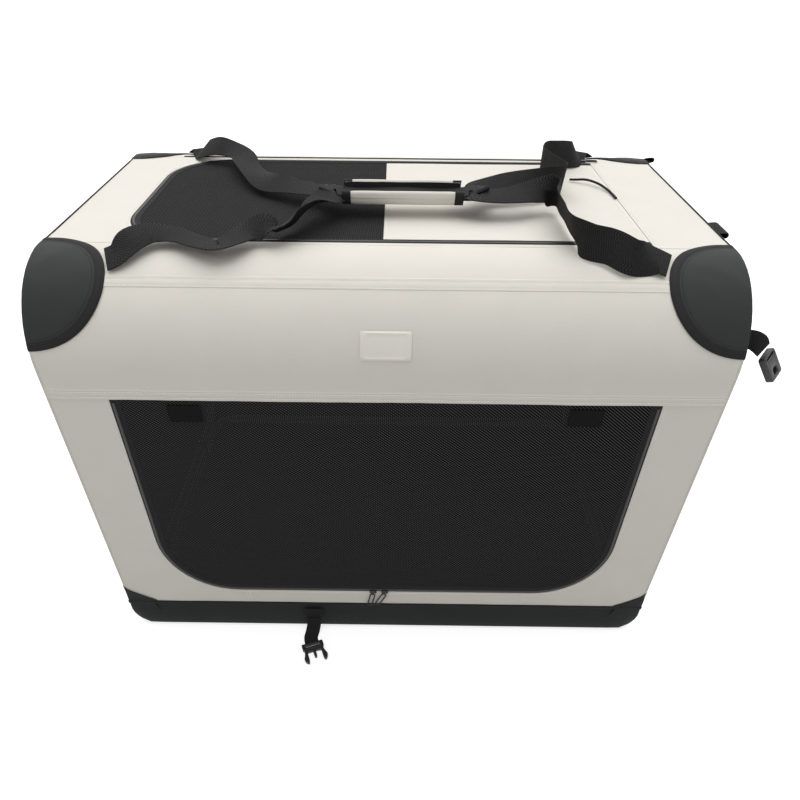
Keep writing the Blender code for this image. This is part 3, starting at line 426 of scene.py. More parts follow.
def outer_loop(inner, centre, outline, corners):
    """The point of outline opposite each point of inner, with the corners kept."""
    made = [ray_hit(centre, point, outline) for point in inner]
    for corner in corners:
        nearest = min(range(len(made)), key=lambda i: math.dist(made[i], corner))
        made[nearest] = corner
    return made


def between(inner, outer, rows):
    """Rows of points from the inner loop to the outer one."""
    pairs = list(zip(inner, outer))
    return [[tuple(a + (b - a) * t for a, b in zip(p, q)) for p, q in pairs]
            for t in steps(0.0, 1.0, rows)]


def swell(share):
    """Nothing at the first and last row, one at the middle."""
    return max(0.0, math.sin(math.pi * share)) ** 0.5


def ripple(u, v, size, seed):
    return noise.noise(Vector((u / size, v / size, seed)))


def heading(places, i, cyclic=False):
    """The direction of a route at its place i."""
    if cyclic:
        return (places[(i + 1) % len(places)] - places[i - 1]).normalized()
    return (places[min(i + 1, len(places) - 1)] - places[max(i - 1, 0)]).normalized()


# Building meshes


def add_object(name, data):
    made = bpy.data.objects.new(name, data)
    bpy.context.scene.collection.objects.link(made)
    return made


def shaded(name, mesh, mend, smooth):
    """A mesh mended through bmesh, smooth up to an angle in degrees, as an object."""
    work = bmesh.new()
    work.from_mesh(mesh)
    mend(work)
    work.to_mesh(mesh)
    work.free()
    mesh.shade_smooth()
    mesh.set_sharp_from_angle(angle=math.radians(smooth))
    return add_object(name, mesh)


def finish_mesh(name, verts, faces, uvs=None, mats=(), slots=None, smooth=35.0):
    mesh = bpy.data.meshes.new(name)
    mesh.from_pydata([tuple(v) for v in verts], [], faces)
    for mat in mats:
        mesh.materials.append(mat)
    if slots:
        mesh.polygons.foreach_set("material_index", slots)
    if uvs:
        layer = mesh.uv_layers.new(name="metres")
        layer.data.foreach_set("uv", [c for loop in mesh.loops for c in uvs[loop.vertex_index]])
    return shaded(name, mesh, lambda work: bmesh.ops.recalc_face_normals(work, faces=work.faces),
                  smooth)


def bands(rings, count, base=0, cyclic=False):
    """Faces between rings of count corners, the first of which is number base."""
    made = []
    for i in range(rings if cyclic else rings - 1):
        a, b = base + i * count, base + (i + 1) % rings * count
        made += [(a + j, a + (j + 1) % count, b + (j + 1) % count, b + j) for j in range(count)]
    return made


def caps(rings, count, base=0):
    return [tuple(range(at, at + count)) for at in (base, base + (rings - 1) * count)]


def laid(rows, columns, spot):
    """A grid of (place, outward, (u, v)) from spot(u, v)."""
    return [[(*spot(u, v), (u, v)) for u in columns] for v in rows]


def sheet_mesh(name, grid, mats, thickness=SKIN, cyclic=False):
    """A sheet from rows of (place, outward, (u, v)); mats are its face and its lining."""
    rows, columns = len(grid), len(grid[0])
    cells = [cell for row in grid for cell in row]
    verts = [place - out * depth for depth in (0.0, thickness) for place, out, _ in cells]
    uvs = [uv for _, _, uv in cells] * 2
    faces, slots = [], []
    spans = columns if cyclic else columns - 1

    def at(deep, i, j):
        return deep * len(cells) + i * columns + j % columns

    for i in range(rows - 1):
        for j in range(spans):
            for deep in (0, 1):
                faces.append((at(deep, i, j), at(deep, i, j + 1), at(deep, i + 1, j + 1),
                              at(deep, i + 1, j)))
                slots.append(min(deep, len(mats) - 1))
    rims = [((i, j), (i, j + 1)) for i in (0, rows - 1) for j in range(spans)]
    if not cyclic:
        rims += [((i, j), (i + 1, j)) for j in (0, columns - 1) for i in range(rows - 1)]
    faces += [(at(0, *a), at(0, *b), at(1, *b), at(1, *a)) for a, b in rims]
    slots += [0] * len(rims)
    return finish_mesh(name, verts, faces, uvs, mats, slots)


def swept(name, places, section, mat, across, cyclic=False):
    """A closed section of (u, v) carried along places, u along across and v out of it."""
    verts, uvs = [], []
    gone = 0.0
    for i, (place, side) in enumerate(zip(places, across)):
        travel = heading(places, i, cyclic)
        side = Vector(side)
        side = (side - side.dot(travel) * travel).normalized()
        up = travel.cross(side).normalized()
        if i:
            gone += (place - places[i - 1]).length
        for u, v in section:
            verts.append(place + side * u + up * v)
            uvs.append((u, gone))
    faces = bands(len(places), len(section), cyclic=cyclic)
    if not cyclic:
        faces += caps(len(places), len(section))
    return finish_mesh(name, verts, faces, uvs, [mat])


def tube(name, places, radius, mat, sides=8):
    """A round rod along places, with its section's first side turned off the route's run."""
    runs = [(b - a).normalized() for a, b in zip(places, places[1:])]
    side = (0.0, 0.0, 1.0)
    if max(abs(run.z) for run in runs) > 0.7:
        level = max(abs(run.x) for run in runs) < 0.7
        side = (1.0, 0.0, 0.0) if level else (0.0, 1.0, 0.0)
    section = arc((0.0, 0.0), radius, 0, 360, sides)[:-1]
    return swept(name, places, section, mat, [side] * len(places))


RIBBON_HALF = ((-0.5, 0.0), (-0.485, 0.4), (-0.46, 0.5), (0.0, 0.5), (0.46, 0.5), (0.485, 0.4))
RIBBON_SECTION = RIBBON_HALF + tuple((-u, -v) for u, v in RIBBON_HALF)


def ribbon(name, samples, width, thickness):
    """Flat webbing along samples of (x, y, z, wx, wy, wz)."""
    section = [(u * width, v * thickness) for u, v in RIBBON_SECTION]
    places = [Vector(s[:3]) for s in samples]
    return swept(name, places, section, WEBBING, [s[3:] for s in samples])


def solid(name, loops, thickness, mat, bevel, matrix):
    """A flat outline with holes, given a thickness and rounded edges and put in its place."""
    curve = bpy.data.curves.new(name, "CURVE")
    curve.dimensions = "2D"
    curve.fill_mode = "BOTH"
    curve.extrude = thickness / 2 - bevel
    curve.bevel_depth = bevel
    curve.bevel_resolution = 2
    curve.offset = -bevel
    for loop in loops:
        spline = curve.splines.new("POLY")
        spline.points.add(len(loop) - 1)
        for point, (u, v) in zip(spline.points, loop):
            point.co = (u, v, 0.0, 1.0)
        spline.use_cyclic_u = True
    drawn = add_object(name + "_drawn", curve)
    bpy.context.view_layer.update()
    graph = bpy.context.evaluated_depsgraph_get()
    mesh = bpy.data.meshes.new_from_object(drawn.evaluated_get(graph))
    bpy.data.objects.remove(drawn, do_unlink=True)
    mesh.name = name
    mesh.materials.clear()
    mesh.materials.append(mat)
    made = shaded(name, mesh, lambda work: bmesh.ops.remove_doubles(work, verts=work.verts,
                                                                    dist=0.00001), 30.0)
    mesh.transform(matrix)
    return made


STITCH_FACES = ((0, 2, 4), (2, 1, 4), (1, 3, 4), (3, 0, 4), (0, 3, 1, 2))


def sew(name, rows, thread, body, folds=False):
    """Thread laid in short runs along each row of (place, outward)."""
    verts, faces = [], []
    for row in rows:
        due = STITCH_PITCH / 2
        for (a, out), (b, _) in zip(row, row[1:]):
            span = (b - a).length
            if span < 1e-9:
                continue
            travel = (b - a) / span
            half = travel * (STITCH_LENGTH / 2)
            wide = travel.cross(out).normalized() * (STITCH_WIDTH / 2)
            while due < span:
                middle = a + travel * due
                faces += [tuple(len(verts) + k for k in face) for face in STITCH_FACES]
                verts += [middle - half, middle + half, middle + wide, middle - wide]
                verts.append(middle + out * STITCH_HEIGHT)
                due += STITCH_PITCH
            due -= span
    made = finish_mesh(name, verts, faces, mats=[THREADS[thread]], smooth=80.0)
    dress(made, body, folds=folds)


def clip_line(outline, start, run):
    """The stretch (t0, t1) of a line inside a convex outline, or None."""
    hits = [t for t, share in crossings(start, run, outline) if 0.0 <= share <= 1.0]
    return (min(hits), max(hits)) if len(hits) >= 2 and max(hits) - min(hits) > 0.002 else None


STRAND_SECTION = ((-0.5, -0.2), (0.5, -0.2), (0.5, 0.2), (-0.5, 0.2))


def net(name, outline, surface, step=None, pitch=NET_PITCH, strand=NET_STRAND, mat=NET):
    """Open knit: two families of flat strands that cross, cut to a convex outline.

    surface gives a place and its outward normal for (u, v). step is how often a strand is
    bent to follow a surface that isn't flat.
    """
    low, high = [[pick(p[k] for p in outline) for k in (0, 1)] for pick in (min, max)]
    middle = ((low[0] + high[0]) / 2, (low[1] + high[1]) / 2)
    count = int(math.dist(low, high) / 2 / pitch)
    verts, faces, uvs = [], [], []
    turn = math.radians(NET_ANGLE)
    for sign in (1, -1):
        run = (math.cos(turn), sign * math.sin(turn))
        side = (-run[1], run[0])
        level = -sign * strand * 0.12
        for k in range(-count, count + 1):
            start = (middle[0] + side[0] * k * pitch, middle[1] + side[1] * k * pitch)
            found = clip_line(outline, start, run)
            if not found:
                continue
            pieces = 1 if step is None else max(1, math.ceil((found[1] - found[0]) / step))
            faces += bands(pieces + 1, 4, len(verts)) + caps(pieces + 1, 4, len(verts))
            for t in steps(*found, pieces):
                for u, v in STRAND_SECTION:
                    at = (start[0] + run[0] * t + side[0] * u * strand,
                          start[1] + run[1] * t + side[1] * u * strand)
                    verts.append(surface(*at, level + v * strand)[0])
                    lean = (at[0] - middle[0]) * math.sin(turn)
                    lift = (at[1] - middle[1]) * math.cos(turn)
                    uvs.append((lift - lean, lift + lean))
    return finish_mesh(name, verts, faces, uvs, [mat], smooth=30.0)


# How a piece moves and what it stands for


def dress(obj, body, node=None, folds=False):
    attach(obj, body)
    if node:
        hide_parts(node)
    if folds:
        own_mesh(obj)


def area_of(grid, cyclic):
    total = 0.0
    for low, high in zip(grid, grid[1:]):
        pairs = list(zip(low, low[1:], high, high[1:]))
        if cyclic:
            pairs.append((low[-1], low[0], high[-1], high[0]))
        for a, b, c, d in pairs:
            total += (b[0] - a[0]).cross(c[0] - a[0]).length / 2
            total += (b[0] - d[0]).cross(c[0] - d[0]).length / 2
    return total


def cloth(name, grid, body, node, cyclic=False):
    """A panel of the skin: built and dressed; its area and size are worked out but not used."""
    made = sheet_mesh(name, grid, [GREY, LINING], cyclic=cyclic)
    dress(made, body, node, body == "base")
    us, vs = zip(*[uv for row in grid for _, _, uv in row])
    width, length = max(us) - min(us), max(vs) - min(vs)
    area = min(area_of(grid, cyclic), width * length)


# The walls


def door_outline(inset, top):
    half, low = DOOR_HALF - inset, DOOR_FOOT + inset
    radius = DOOR_CORNER - inset
    right = arc((half - radius, low + radius), radius, -90, 0, 12)
    return [(half, top), *reversed(right), *[(-x, z) for x, z in right], (-half, top)]


def roof_outline(inset, right):
    left, half = ROOF_LEFT + inset, ROOF_HALF - inset
    radius = ROOF_CORNER - inset
    points = [(right, -half), (right, half)]
    points += arc((left + radius, half - radius), radius, 90, 180, 12)
    return points + arc((left + radius, -half + radius), radius, 180, 270, 12)


def roof_path(inset, right):
    """The same outline, from the hinge round to the hinge."""
    outline = roof_outline(inset, right)
    return outline[1:] + outline[:1]


def row_on(surface, points, outset=0.0, step=None):
    return [surface(u, v, outset) for u, v in (spaced(points, step) if step else points)]


def wall_lines(lengths, spot):
    """Rows of stitches from end to end of a wall."""
    xs = steps(LINE_INSET - WRAP_END, WRAP_END - LINE_INSET, 90)
    return [[spot(x, length) for x in xs] for length in lengths]


def flap_relief(x, length):
    """How far the flap's cloth stands off its skin: a felled seam, a folded hem, slack."""
    middle = SEAM_LINE + 0.0075
    slack = 0.5 + 0.5 * min(1.0, max(0.0, length - SEAM_LINE) / 0.10)
    puckers = ripple(x, length, 0.014, 3.1) * math.exp(-((length - middle) / 0.009) ** 2)
    puckers += ripple(x, length, 0.018, 5.2) * math.exp(-((length - HEM_LENGTH) / 0.012) ** 2)
    soft = ripple(x, length * 0.6, 0.085, 7.7) * slack
    edge = min(1.0, (WRAP_END - abs(x)) / EDGE_FADE)
    folded = 0.0009 if SEAM_LINE < length < SEAM_LINE + 0.0140 else 0.0
    hem = 0.0007 if length > HEM_LENGTH - 0.013 else 0.0
    drawn = sum(math.exp(-((length - line) / 0.0012) ** 2) for line in FLAP_LINES)
    return edge * (0.0010 * soft + 0.0005 * puckers) + folded + hem - 0.0005 * drawn


def flap_lengths():
    """Rows down the flap, close together at the seam and the hem."""
    lengths = steps(GAP - ROOF_RIM, HEM_LENGTH, 30)
    for first, last in ((SEAM_LINE - 0.002, SEAM_LINE + 0.016), (HEM_LENGTH - 0.0145, HEM_LENGTH)):
        lengths = [v for v in lengths if not first - 0.002 < v < last]
        lengths += steps(first, last, round((last - first) / 0.0012))
    return sorted(set(lengths))


def build_flap():
    def spot(x, length, lift=0.0):
        return on_profile(x, length, flap_relief(x, length) + lift)

    grid = laid(flap_lengths(), steps(-WRAP_END, WRAP_END, 100), spot)
    cloth("flap_cloth", grid, "base", "front_flap")
    rows = wall_lines(FLAP_LINES, lambda x, length: spot(x, length, 0.0006))
    sew("flap_stitches", rows, "grey", "base", True)


def planar_grid(inner, outer, rows, surface, relief=lambda u, v: 0.0):
    """A grid between two loops on a flat face, with relief(u, v) fading to its rims."""
    grid = []
    for i, row in enumerate(between(inner, outer, rows)):
        fade = swell(i / rows)
        grid.append([(*surface(u, v, relief(u, v) * fade), (u, v)) for u, v in row])
    return grid


def build_front_wall():
    top = HEM_Z - GAP
    inner = spaced(door_outline(-GAP, top), CLOTH_STEP)
    outline = [(WRAP_END, top), (WRAP_END, FOOT), (-WRAP_END, FOOT), (-WRAP_END, top)]
    outer = outer_loop(inner, (0.0, top), outline, outline)

    def relief(x, z):
        wrinkle = ripple(x + z, (z - x) * 0.35, 0.030, 1.7)
        low = max(0.0, 1.0 - (z - FOOT) / 0.16)
        return 0.0009 * ripple(x, z, 0.06, 5.0) + 0.0016 * low * wrinkle * abs(x) / WRAP_END

    grid = planar_grid(inner, outer, 8, on_front, relief)
    cloth("front_wall_cloth", grid, "base", "front_wall")
    rows = [row_on(on_front, door_outline(-0.004, top), 0.0003, STITCH_STEP)]
    for x in (-0.214, -0.2095, 0.214, 0.2185):
        rows.append(row_on(on_front, [(x, FOOT + 0.013), (x, DOOR_FOOT - 0.002)], 0.0006))
    sew("front_wall_stitches", rows, "grey", "base", True)


def build_rear_wall():
    first = GAP - ROOF_RIM

    def spot(x, length):
        edge = min(1.0, (WRAP_END - abs(x)) / EDGE_FADE)
        fade = swell((length - first) / (WALL_LENGTH - first))
        soft = 0.0016 * ripple(x, length * 0.6, 0.10, 9.3) + 0.0005 * ripple(x, length, 0.03, 2.0)
        return on_profile(x, length, soft * edge * fade, 1)

    grid = laid(steps(first, WALL_LENGTH, 52), steps(WRAP_END, -WRAP_END, 76), spot)
    cloth("rear_wall_cloth", grid, "base", "rear_wall")
    rows = wall_lines(REAR_LINES, lambda x, length: on_profile(x, length, 0.0004, 1))
    sew("rear_wall_stitches", rows, "grey", "base", True)


WINDOW_BAND = ((-0.0045, 0.0), (-0.0040, -0.0009), (0.0, -0.0012), (0.0040, -0.0009), (0.0045, 0.0))


def build_ends():
    """End walls, each with a bound window of net."""
    middle = (0.0, (WINDOW_LOW.z + WINDOW_HIGH.z) / 2)
    half_z = (WINDOW_HIGH.z - WINDOW_LOW.z) / 2
    outline = [(-SKIN_Y, FOOT), (SKIN_Y, FOOT)]
    outline += arc((SEAM_Y, SHOULDER_Z), SHOULDER, 0, 90, 16)
    outline += arc((-SEAM_Y, SHOULDER_Z), SHOULDER, 90, 180, 16)

    def window(seam):
        half_y, corner = WINDOW_HIGH.y - seam, WINDOW_CORNER - seam
        return rounded_rectangle(half_y, half_z - seam, corner, 10, middle)

    inner = spaced(window(WINDOW_SEAM), CLOTH_STEP, closed=True)
    outer = outer_loop(inner, middle, outline, outline[:2])
    rim = spaced(window(WINDOW_SEAM - 0.004), CLOTH_STEP, closed=True)
    for side, sign in SIDES:
        surface = on_end(sign)

        def relief(y, z):
            return 0.0014 * ripple(y, z, 0.09, 4.0 + sign) + 0.0005 * ripple(y, z, 0.03, 8.0 + sign)

        def inside(y, z, outset=0.0):
            return surface(y, z, outset - SKIN - 0.0009)

        grid = planar_grid(inner, outer, 9, surface, relief)
        cloth(f"end_wall_cloth_{side}", grid, "base", f"end_wall_{side}", True)
        knit = net(f"end_net_{side}", window(0.0), inside, None, END_NET_PITCH, END_NET_STRAND,
                   END_NET)
        dress(knit, "base", f"end_mesh_{side}", True)
        places = [place for place, _ in row_on(surface, rim)]
        out = Vector((sign, 0.0, 0.0))
        across = [heading(places, i, True).cross(out) for i in range(len(rim))]
        binding = swept(f"window_binding_{side}", places, WINDOW_BAND, BLACK_BAND, across, True)
        dress(binding, "base", folds=True)
        row = row_on(surface, rim + rim[:1], 0.0012)
        sew(f"window_stitches_{side}", [row], "black", "base", True)


def piping(name, places):
    dress(tube(name, places, 0.0013, BLACK_BAND, 6), "base", folds=True)


def build_corner_seams():
    """Rolled grey seams where the end walls meet the front and rear, and dark roof piping."""
    inset = 0.0010
    level = SKIN_Z + PIPING_LIFT
    reach = SEAM_Y - GUARD_HALF_HEIGHT + GUARD_CENTRE + 0.004
    for side, sign in SIDES:
        x = sign * (SKIN_X - inset)
        for end, front in ENDS:
            lengths = steps(-0.03, WALL_LENGTH, 60)
            places = [on_profile(x, length, -inset, front)[0] for length in lengths]
            seam = tube(f"corner_seam_{side}_{end}", places, 0.0019, GREY_TRIM)
            dress(seam, "base", folds=True)
        piping(f"roof_piping_{side}", [Vector((x, y, level)) for y in steps(-reach, reach, 24)])
    y = ROOF_EDGE + 0.0045
    piping("rear_piping", [Vector((x, y, level)) for x in steps(-0.325, 0.325, 30)])


# The roof and the doors


def coil(name, points, surface):
    """The zip's coil: a narrow ridge with a tooth at each pitch."""
    spots = row_on(surface, points, 0.0002, COIL_PITCH)
    places = [place for place, _ in spots]
    section = ((-1.0, 0.0), (-0.7, 0.75), (0.0, 1.0), (0.7, 0.75), (1.0, 0.0))
    verts, uvs = [], []
    for i, (place, out) in enumerate(spots):
        side = heading(places, i).cross(out)
        tooth = 1.0 if i % 2 else 0.78
        for u, v in section:
            wide, high = u * COIL_HALF_WIDTH * tooth, v * COIL_HEIGHT * tooth
            verts.append(place + side * wide + out * high)
            uvs.append((u * 0.002, i * COIL_PITCH))
    faces = bands(len(places), len(section)) + caps(len(places), len(section))
    return finish_mesh(name, verts, faces, uvs, [ZIP_COIL], smooth=60.0)


def zip_line(end, inner, outer, track, seam, surface, folds):
    """A door's zip: tape between two lines, the coil along track, stitches along seam."""
    body = f"{end}_door"
    tape = sheet_mesh(f"{end}_zip_tape", planar_grid(inner, outer, 3, surface), [ZIP_TAPE])
    dress(tape, body, f"{end}_door_tape", folds)
    dress(coil(f"{end}_zip_coil", track, surface), body, folds=folds)
    row = row_on(surface, seam, 0.0001, STITCH_STEP)
    sew(f"{end}_zip_stitches", [row], "black", body, folds)


def build_roof_panel():
    inner = spaced(roof_outline(-GAP, ROOF_HINGE + GAP), CLOTH_STEP, closed=True)
    outline = [(-WRAP_END, -ROOF_EDGE), (WRAP_END, -ROOF_EDGE), (WRAP_END, ROOF_EDGE),
               (-WRAP_END, ROOF_EDGE)]
    outer = outer_loop(inner, (0.0, 0.0), outline, outline)

    def relief(x, y):
        return 0.0007 * ripple(x, y, 0.05, 6.0)

    grid = planar_grid(inner, outer, 6, on_roof, relief)
    cloth("roof_cloth", grid, "roof", "roof_panel", True)
    hinge = [(ROOF_HINGE + 0.004, -ROOF_HALF), (ROOF_HINGE + 0.004, ROOF_HALF)]
    rows = [row_on(on_roof, roof_path(-0.004, ROOF_HINGE), 0.0003, STITCH_STEP),
            row_on(on_roof, hinge, 0.0003, 0.01)]
    sew("roof_stitches", rows, "grey", "roof")


def sag(x, y):
    """How far the roof door's cloth hangs below its skin."""
    across = max(0.0, 1.0 - (y / (ROOF_HALF - TAPE)) ** 2)
    left = ROOF_LEFT + TAPE
    along = max(0.0, 1.0 - ((2 * x - left - ROOF_HINGE) / (ROOF_HINGE - left)) ** 2)
    return -0.0035 * across * along + 0.0004 * ripple(x, y, 0.07, 3.3)


def on_slack(x, y, outset=0.0):
    return on_roof(x, y, outset + sag(x, y))


def build_roof_door():
    edge, stop = ROOF_HINGE - GAP, ROOF_HINGE - COIL_GAP
    tape = roof_outline(TAPE - GAP, edge)
    outside = spaced(roof_path(GAP, edge), CLOTH_STEP)
    inside = [ray_hit((0.0, 0.0), point, tape) for point in outside]
    inside[0], inside[-1] = tape[1], tape[0]
    track, seam = roof_path(COIL_LINE, stop), roof_path(ZIP_SEAM_LINE, stop)
    zip_line("roof", inside, outside, track, seam, on_roof, False)
    outline = roof_outline(TAPE - NET_HEM, ROOF_SEAM - GAP)
    knit = net("roof_net", outline, lambda x, y, o: on_slack(x, y, o - 0.0008), 0.02)
    dress(knit, "roof_door", "roof_door_mesh")
    half = ROOF_HALF - TAPE - GAP
    grid = laid(steps(-half, half, 22), steps(ROOF_SEAM, edge, 22),
                lambda x, y: on_slack(x, y, -0.0001))
    cloth("roof_door_cloth", grid, "roof_door", "roof_door_panel")
    rows = [[on_slack(x, y, 0.0001) for y in steps(-half, half, 40)]
            for x in (ROOF_SEAM + 0.003, ROOF_HINGE - 0.006)]
    sew("roof_door_stitches", rows, "grey", "roof_door")


def build_front_door():
    top = HEM_Z - 2 * GAP
    inner = spaced(door_outline(TAPE, top), CLOTH_STEP)
    outer = [ray_hit((0.0, top), point, door_outline(GAP, top)) for point in inner]
    outer[0], outer[-1] = (DOOR_HALF - GAP, top), (GAP - DOOR_HALF, top)
    track, seam = door_outline(COIL_LINE, top - COIL_GAP), door_outline(ZIP_SEAM_LINE, top)
    zip_line("front", inner, outer, track, seam, on_front, True)
    outline = door_outline(TAPE - NET_HEM, top)
    knit = net("front_net", outline, lambda x, z, o: on_front(x, z, o - 0.0009))
    dress(knit, "front_door", "front_door_mesh", True)
    for side, _ in SIDES:
        low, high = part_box(f"door_tab_{side}")

        def spot(x, z):
            y = low.y - 0.0004 * ripple(x, z, 0.01, 2.0)
            return Vector((x, y, z)), Vector((0.0, -1.0, 0.0))

        grid = laid(steps(low.z, high.z, 6), steps(low.x, high.x, 10), spot)
        tab = sheet_mesh(f"door_tab_cloth_{side}", grid, [TAB_CLOTH], high.y - low.y)
        dress(tab, "front_door", f"door_tab_{side}", True)


# Trim

# The guards' rings: the share of the way out, and how far the cloth stands up, in millimetres
GUARD_RINGS = (
    (0.0, 1.9), (0.16, 1.95), (0.32, 1.85), (0.48, 1.8), (0.64, 1.7), (0.78, 1.45), (0.858, 1.1),
    (0.875, 1.0), (0.89, 1.35), (0.945, 1.6), (0.985, 1.35), (1.0, 0.5),
)
GUARD_BINDING = 0.87


def build_guards():
    """Corner guards: discs folded over the end seam, domed a little, with a bound rim."""
    turns = steps(0.0, 2 * math.pi, 72)[:-1]
    for corner, sign, front in CORNERS:
        seed = 2.0 * sign + front

        def place(share, turn, height):
            along = GUARD_CENTRE + GUARD_HALF_HEIGHT * share * math.cos(turn)
            reach = GUARD_REACH if math.sin(turn) > 0 else GUARD_HALF_HEIGHT
            over = reach * share * math.sin(turn)
            lift = GUARD_LIFT + height * min(1.0, 0.25 + abs(over) / 0.03)
            (y, z), (out_y, out_z) = seam_point(along, lift, front)
            if over >= 0:
                return Vector((sign * (SKIN_X + min(lift, 0.0012) - over), y, z))
            return Vector((sign * (SKIN_X + lift), y + over * out_y, z + over * out_z))

        verts, uvs = [], []
        for share, height in GUARD_RINGS:
            for turn in turns:
                flat = (GUARD_HALF_HEIGHT * share * math.cos(turn),
                        GUARD_REACH * share * math.sin(turn))
                cloudy = 0.8 * ripple(*flat, 0.02, seed) if share < 0.85 else 0.0
                verts.append(place(share, turn, (height + cloudy) * 0.001))
                uvs.append(flat)
        verts += [place(0.99, turn, -0.0002) for turn in turns]
        uvs += [(0.0, 0.0)] * len(turns)
        faces = bands(len(GUARD_RINGS) + 1, len(turns))
        slots = [int(share > GUARD_BINDING) for share, _ in GUARD_RINGS for _ in turns]
        name = f"guard_{corner}"
        made = finish_mesh(name, verts, faces, uvs, [BLACK, BLACK_BAND], slots, 60.0)
        dress(made, "base", f"corner_{name}", True)
        rows = []
        for share, height in ((0.90, 0.0014), (0.845, 0.0013)):
            row = []
            for turn in steps(0.0, 2 * math.pi, 96):
                here = place(share, turn, height)
                above = place(share, turn, height + 0.001)
                row.append((here, (above - here).normalized()))
            rows.append(row)
        sew(f"guard_stitches_{corner}", rows, "black", "base", True)


def build_label():
    """The bare patch on the flap, with a raised rim."""
    low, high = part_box("label_patch")
    rows, columns = 14, 24
    first, last = (SHOULDER * math.acos((z - SHOULDER_Z) / SHOULDER) for z in (high.z, low.z))
    grid = []
    for i, length in enumerate(steps(first, last, rows)):
        row = []
        for j, x in enumerate(steps(low.x, high.x, columns)):
            rim = min(i, rows - i, (j + 1) // 2, (columns - j + 1) // 2)
            height = (0.0004, 0.0016, 0.0009)[min(rim, 2)]
            row.append((*on_profile(x, length, height), (x, length)))
        grid.append(row)
    patch = sheet_mesh("label_cloth", grid, [GREY_PATCH], 0.0003)
    dress(patch, "base", "label_patch", True)


# The tray's wall from the floor up: height, inset from its outline, and corner radius
TRAY_LEVELS = (
    (0.0, 0.0075, 0.030), (0.0004, 0.0050, 0.029), (0.0018, 0.0026, 0.028), (0.0045, 0.0006, 0.027),
    (0.0085, -0.0006, 0.025), (0.016, -0.0014, 0.020), (0.026, -0.0016, 0.013),
    (0.036, -0.0010, 0.007), (0.045, 0.0000, 0.0035), (0.0525, 0.0004, 0.0025),
    (0.0535, -0.0004, 0.0025), (0.0575, -0.0006, 0.0025), (TRAY_HIGH.z, 0.0004, 0.0025),
)
TRAY_SEAM_Z = 0.0550


def tray_out(x, y):
    """The way out of the tray's side at (x, y)."""
    if abs(x) / TRAY_HIGH.x > abs(y) / TRAY_HIGH.y:
        return Vector((math.copysign(1.0, x), 0.0, 0.0))
    return Vector((0.0, math.copysign(1.0, y), 0.0))


def build_tray():
    """The black base: its foot rolls under, and slanted seams close its corners."""
    outer_x, outer_y = TRAY_HIGH.x, TRAY_HIGH.y
    grid, plan = [], None
    for z, inset, radius in reversed(TRAY_LEVELS):
        loop = rounded_rectangle(outer_x - inset, outer_y - inset, radius)
        plan = plan or spaced(loop, 0.02, closed=True)
        ring = [ray_hit((0.0, 0.0), point, loop) for point in plan] if grid else plan
        free = max(0.0, min(1.0, (z - 0.004) / 0.02))
        row, gone = [], 0.0
        for k, (x, y) in enumerate(ring):
            gone += math.dist(ring[k - 1], (x, y)) if k else 0.0
            out = tray_out(x, y)
            bow = 0.0007 * ripple(x + y, z * 0.5, 0.05, 4.4) * free
            row.append((Vector((x, y, z)) + out * bow, out, (gone, z)))
        grid.append(row)
    wall = sheet_mesh("tray_cloth", grid, [TRAY_CLOTH, LINING], TRAY_THICKNESS, cyclic=True)
    dress(wall, "base", "base_tray")
    foot = [place for place, _, _ in grid[-1]]
    verts = [place + Vector((0.0, 0.0, lift)) for lift in (0.0, TRAY_THICKNESS) for place in foot]
    faces = caps(2, len(foot)) + bands(2, len(foot))
    sole = finish_mesh("tray_sole", verts, faces, [(p.x, p.y) for p in verts], [TRAY_CLOTH])
    dress(sole, "base")
    ring = spaced(rounded_rectangle(outer_x + 0.0006, outer_y + 0.0006, 0.0025, 3), 0.01, True)
    rows = [[(Vector((x, y, TRAY_SEAM_Z)), tray_out(x, y)) for x, y in ring + ring[:1]]]
    slant = ((0.361, 0.050), (0.352, 0.028), (0.345, 0.006))
    ridge = ((0.363, 0.0525), (0.3585, 0.040), (0.3535, 0.026), (0.3485, 0.012))
    for corner, sx, sy in CORNERS:
        out = Vector((0.0, sy, 0.0))
        for shift in (0.0, 0.004):
            y = sy * (outer_y + 0.0008)
            rows.append([(Vector((sx * (x - shift), y, z)), out) for x, z in slant])
        places = [Vector((sx * x, sy * (outer_y + 0.0002), z)) for x, z in ridge]
        seam = tube(f"tray_seam_{corner}", places, 0.0011, TRAY_CLOTH, 6)
        dress(seam, "base")
    sew("tray_stitches", rows, "black", "base")


def build_tray_ears():
    """Where the tray's cloth runs up each corner, over the foot of the walls."""
    heights = ((0.0, 0.0350), (0.004, 0.0270), (0.010, 0.0215), (0.020, 0.0155), (0.032, 0.0085),
               (0.044, 0.0020))
    columns = [(gone, 0.0, high) for gone, high in reversed(heights)]
    columns += [(0.0, gone, high) for gone, high in heights[1:]]
    sunk = 0.0020
    for where, sx, sy in CORNERS:
        grid = []
        for share in steps(0.0, 1.0, 8):
            row = []
            for gone_x, gone_y, high in columns:
                z = TRAY_HIGH.z - sunk + (high + sunk) * share
                bulge = 0.0016 + 0.0006 * ripple(gone_x - gone_y, z, 0.02, 8.8 + sx)
                corner = 0.0010 if not gone_x and not gone_y else 0.0
                x = SKIN_X - gone_x + (0.0 if gone_x else bulge) - corner
                y = SKIN_Y - gone_y + (0.0 if gone_y else bulge) - corner
                out = Vector((sx * (gone_x == 0.0), sy * (gone_y == 0.0), 0.0)).normalized()
                row.append((Vector((sx * x, sy * y, z)), out, (gone_x - gone_y, z)))
            grid.append(row if sx * sy < 0 else row[::-1])
        made = sheet_mesh(f"tray_ear_{where}", grid, [TRAY_CLOTH], 0.0008)
        dress(made, "base", folds=True)


# Webbing, buckles and sliders


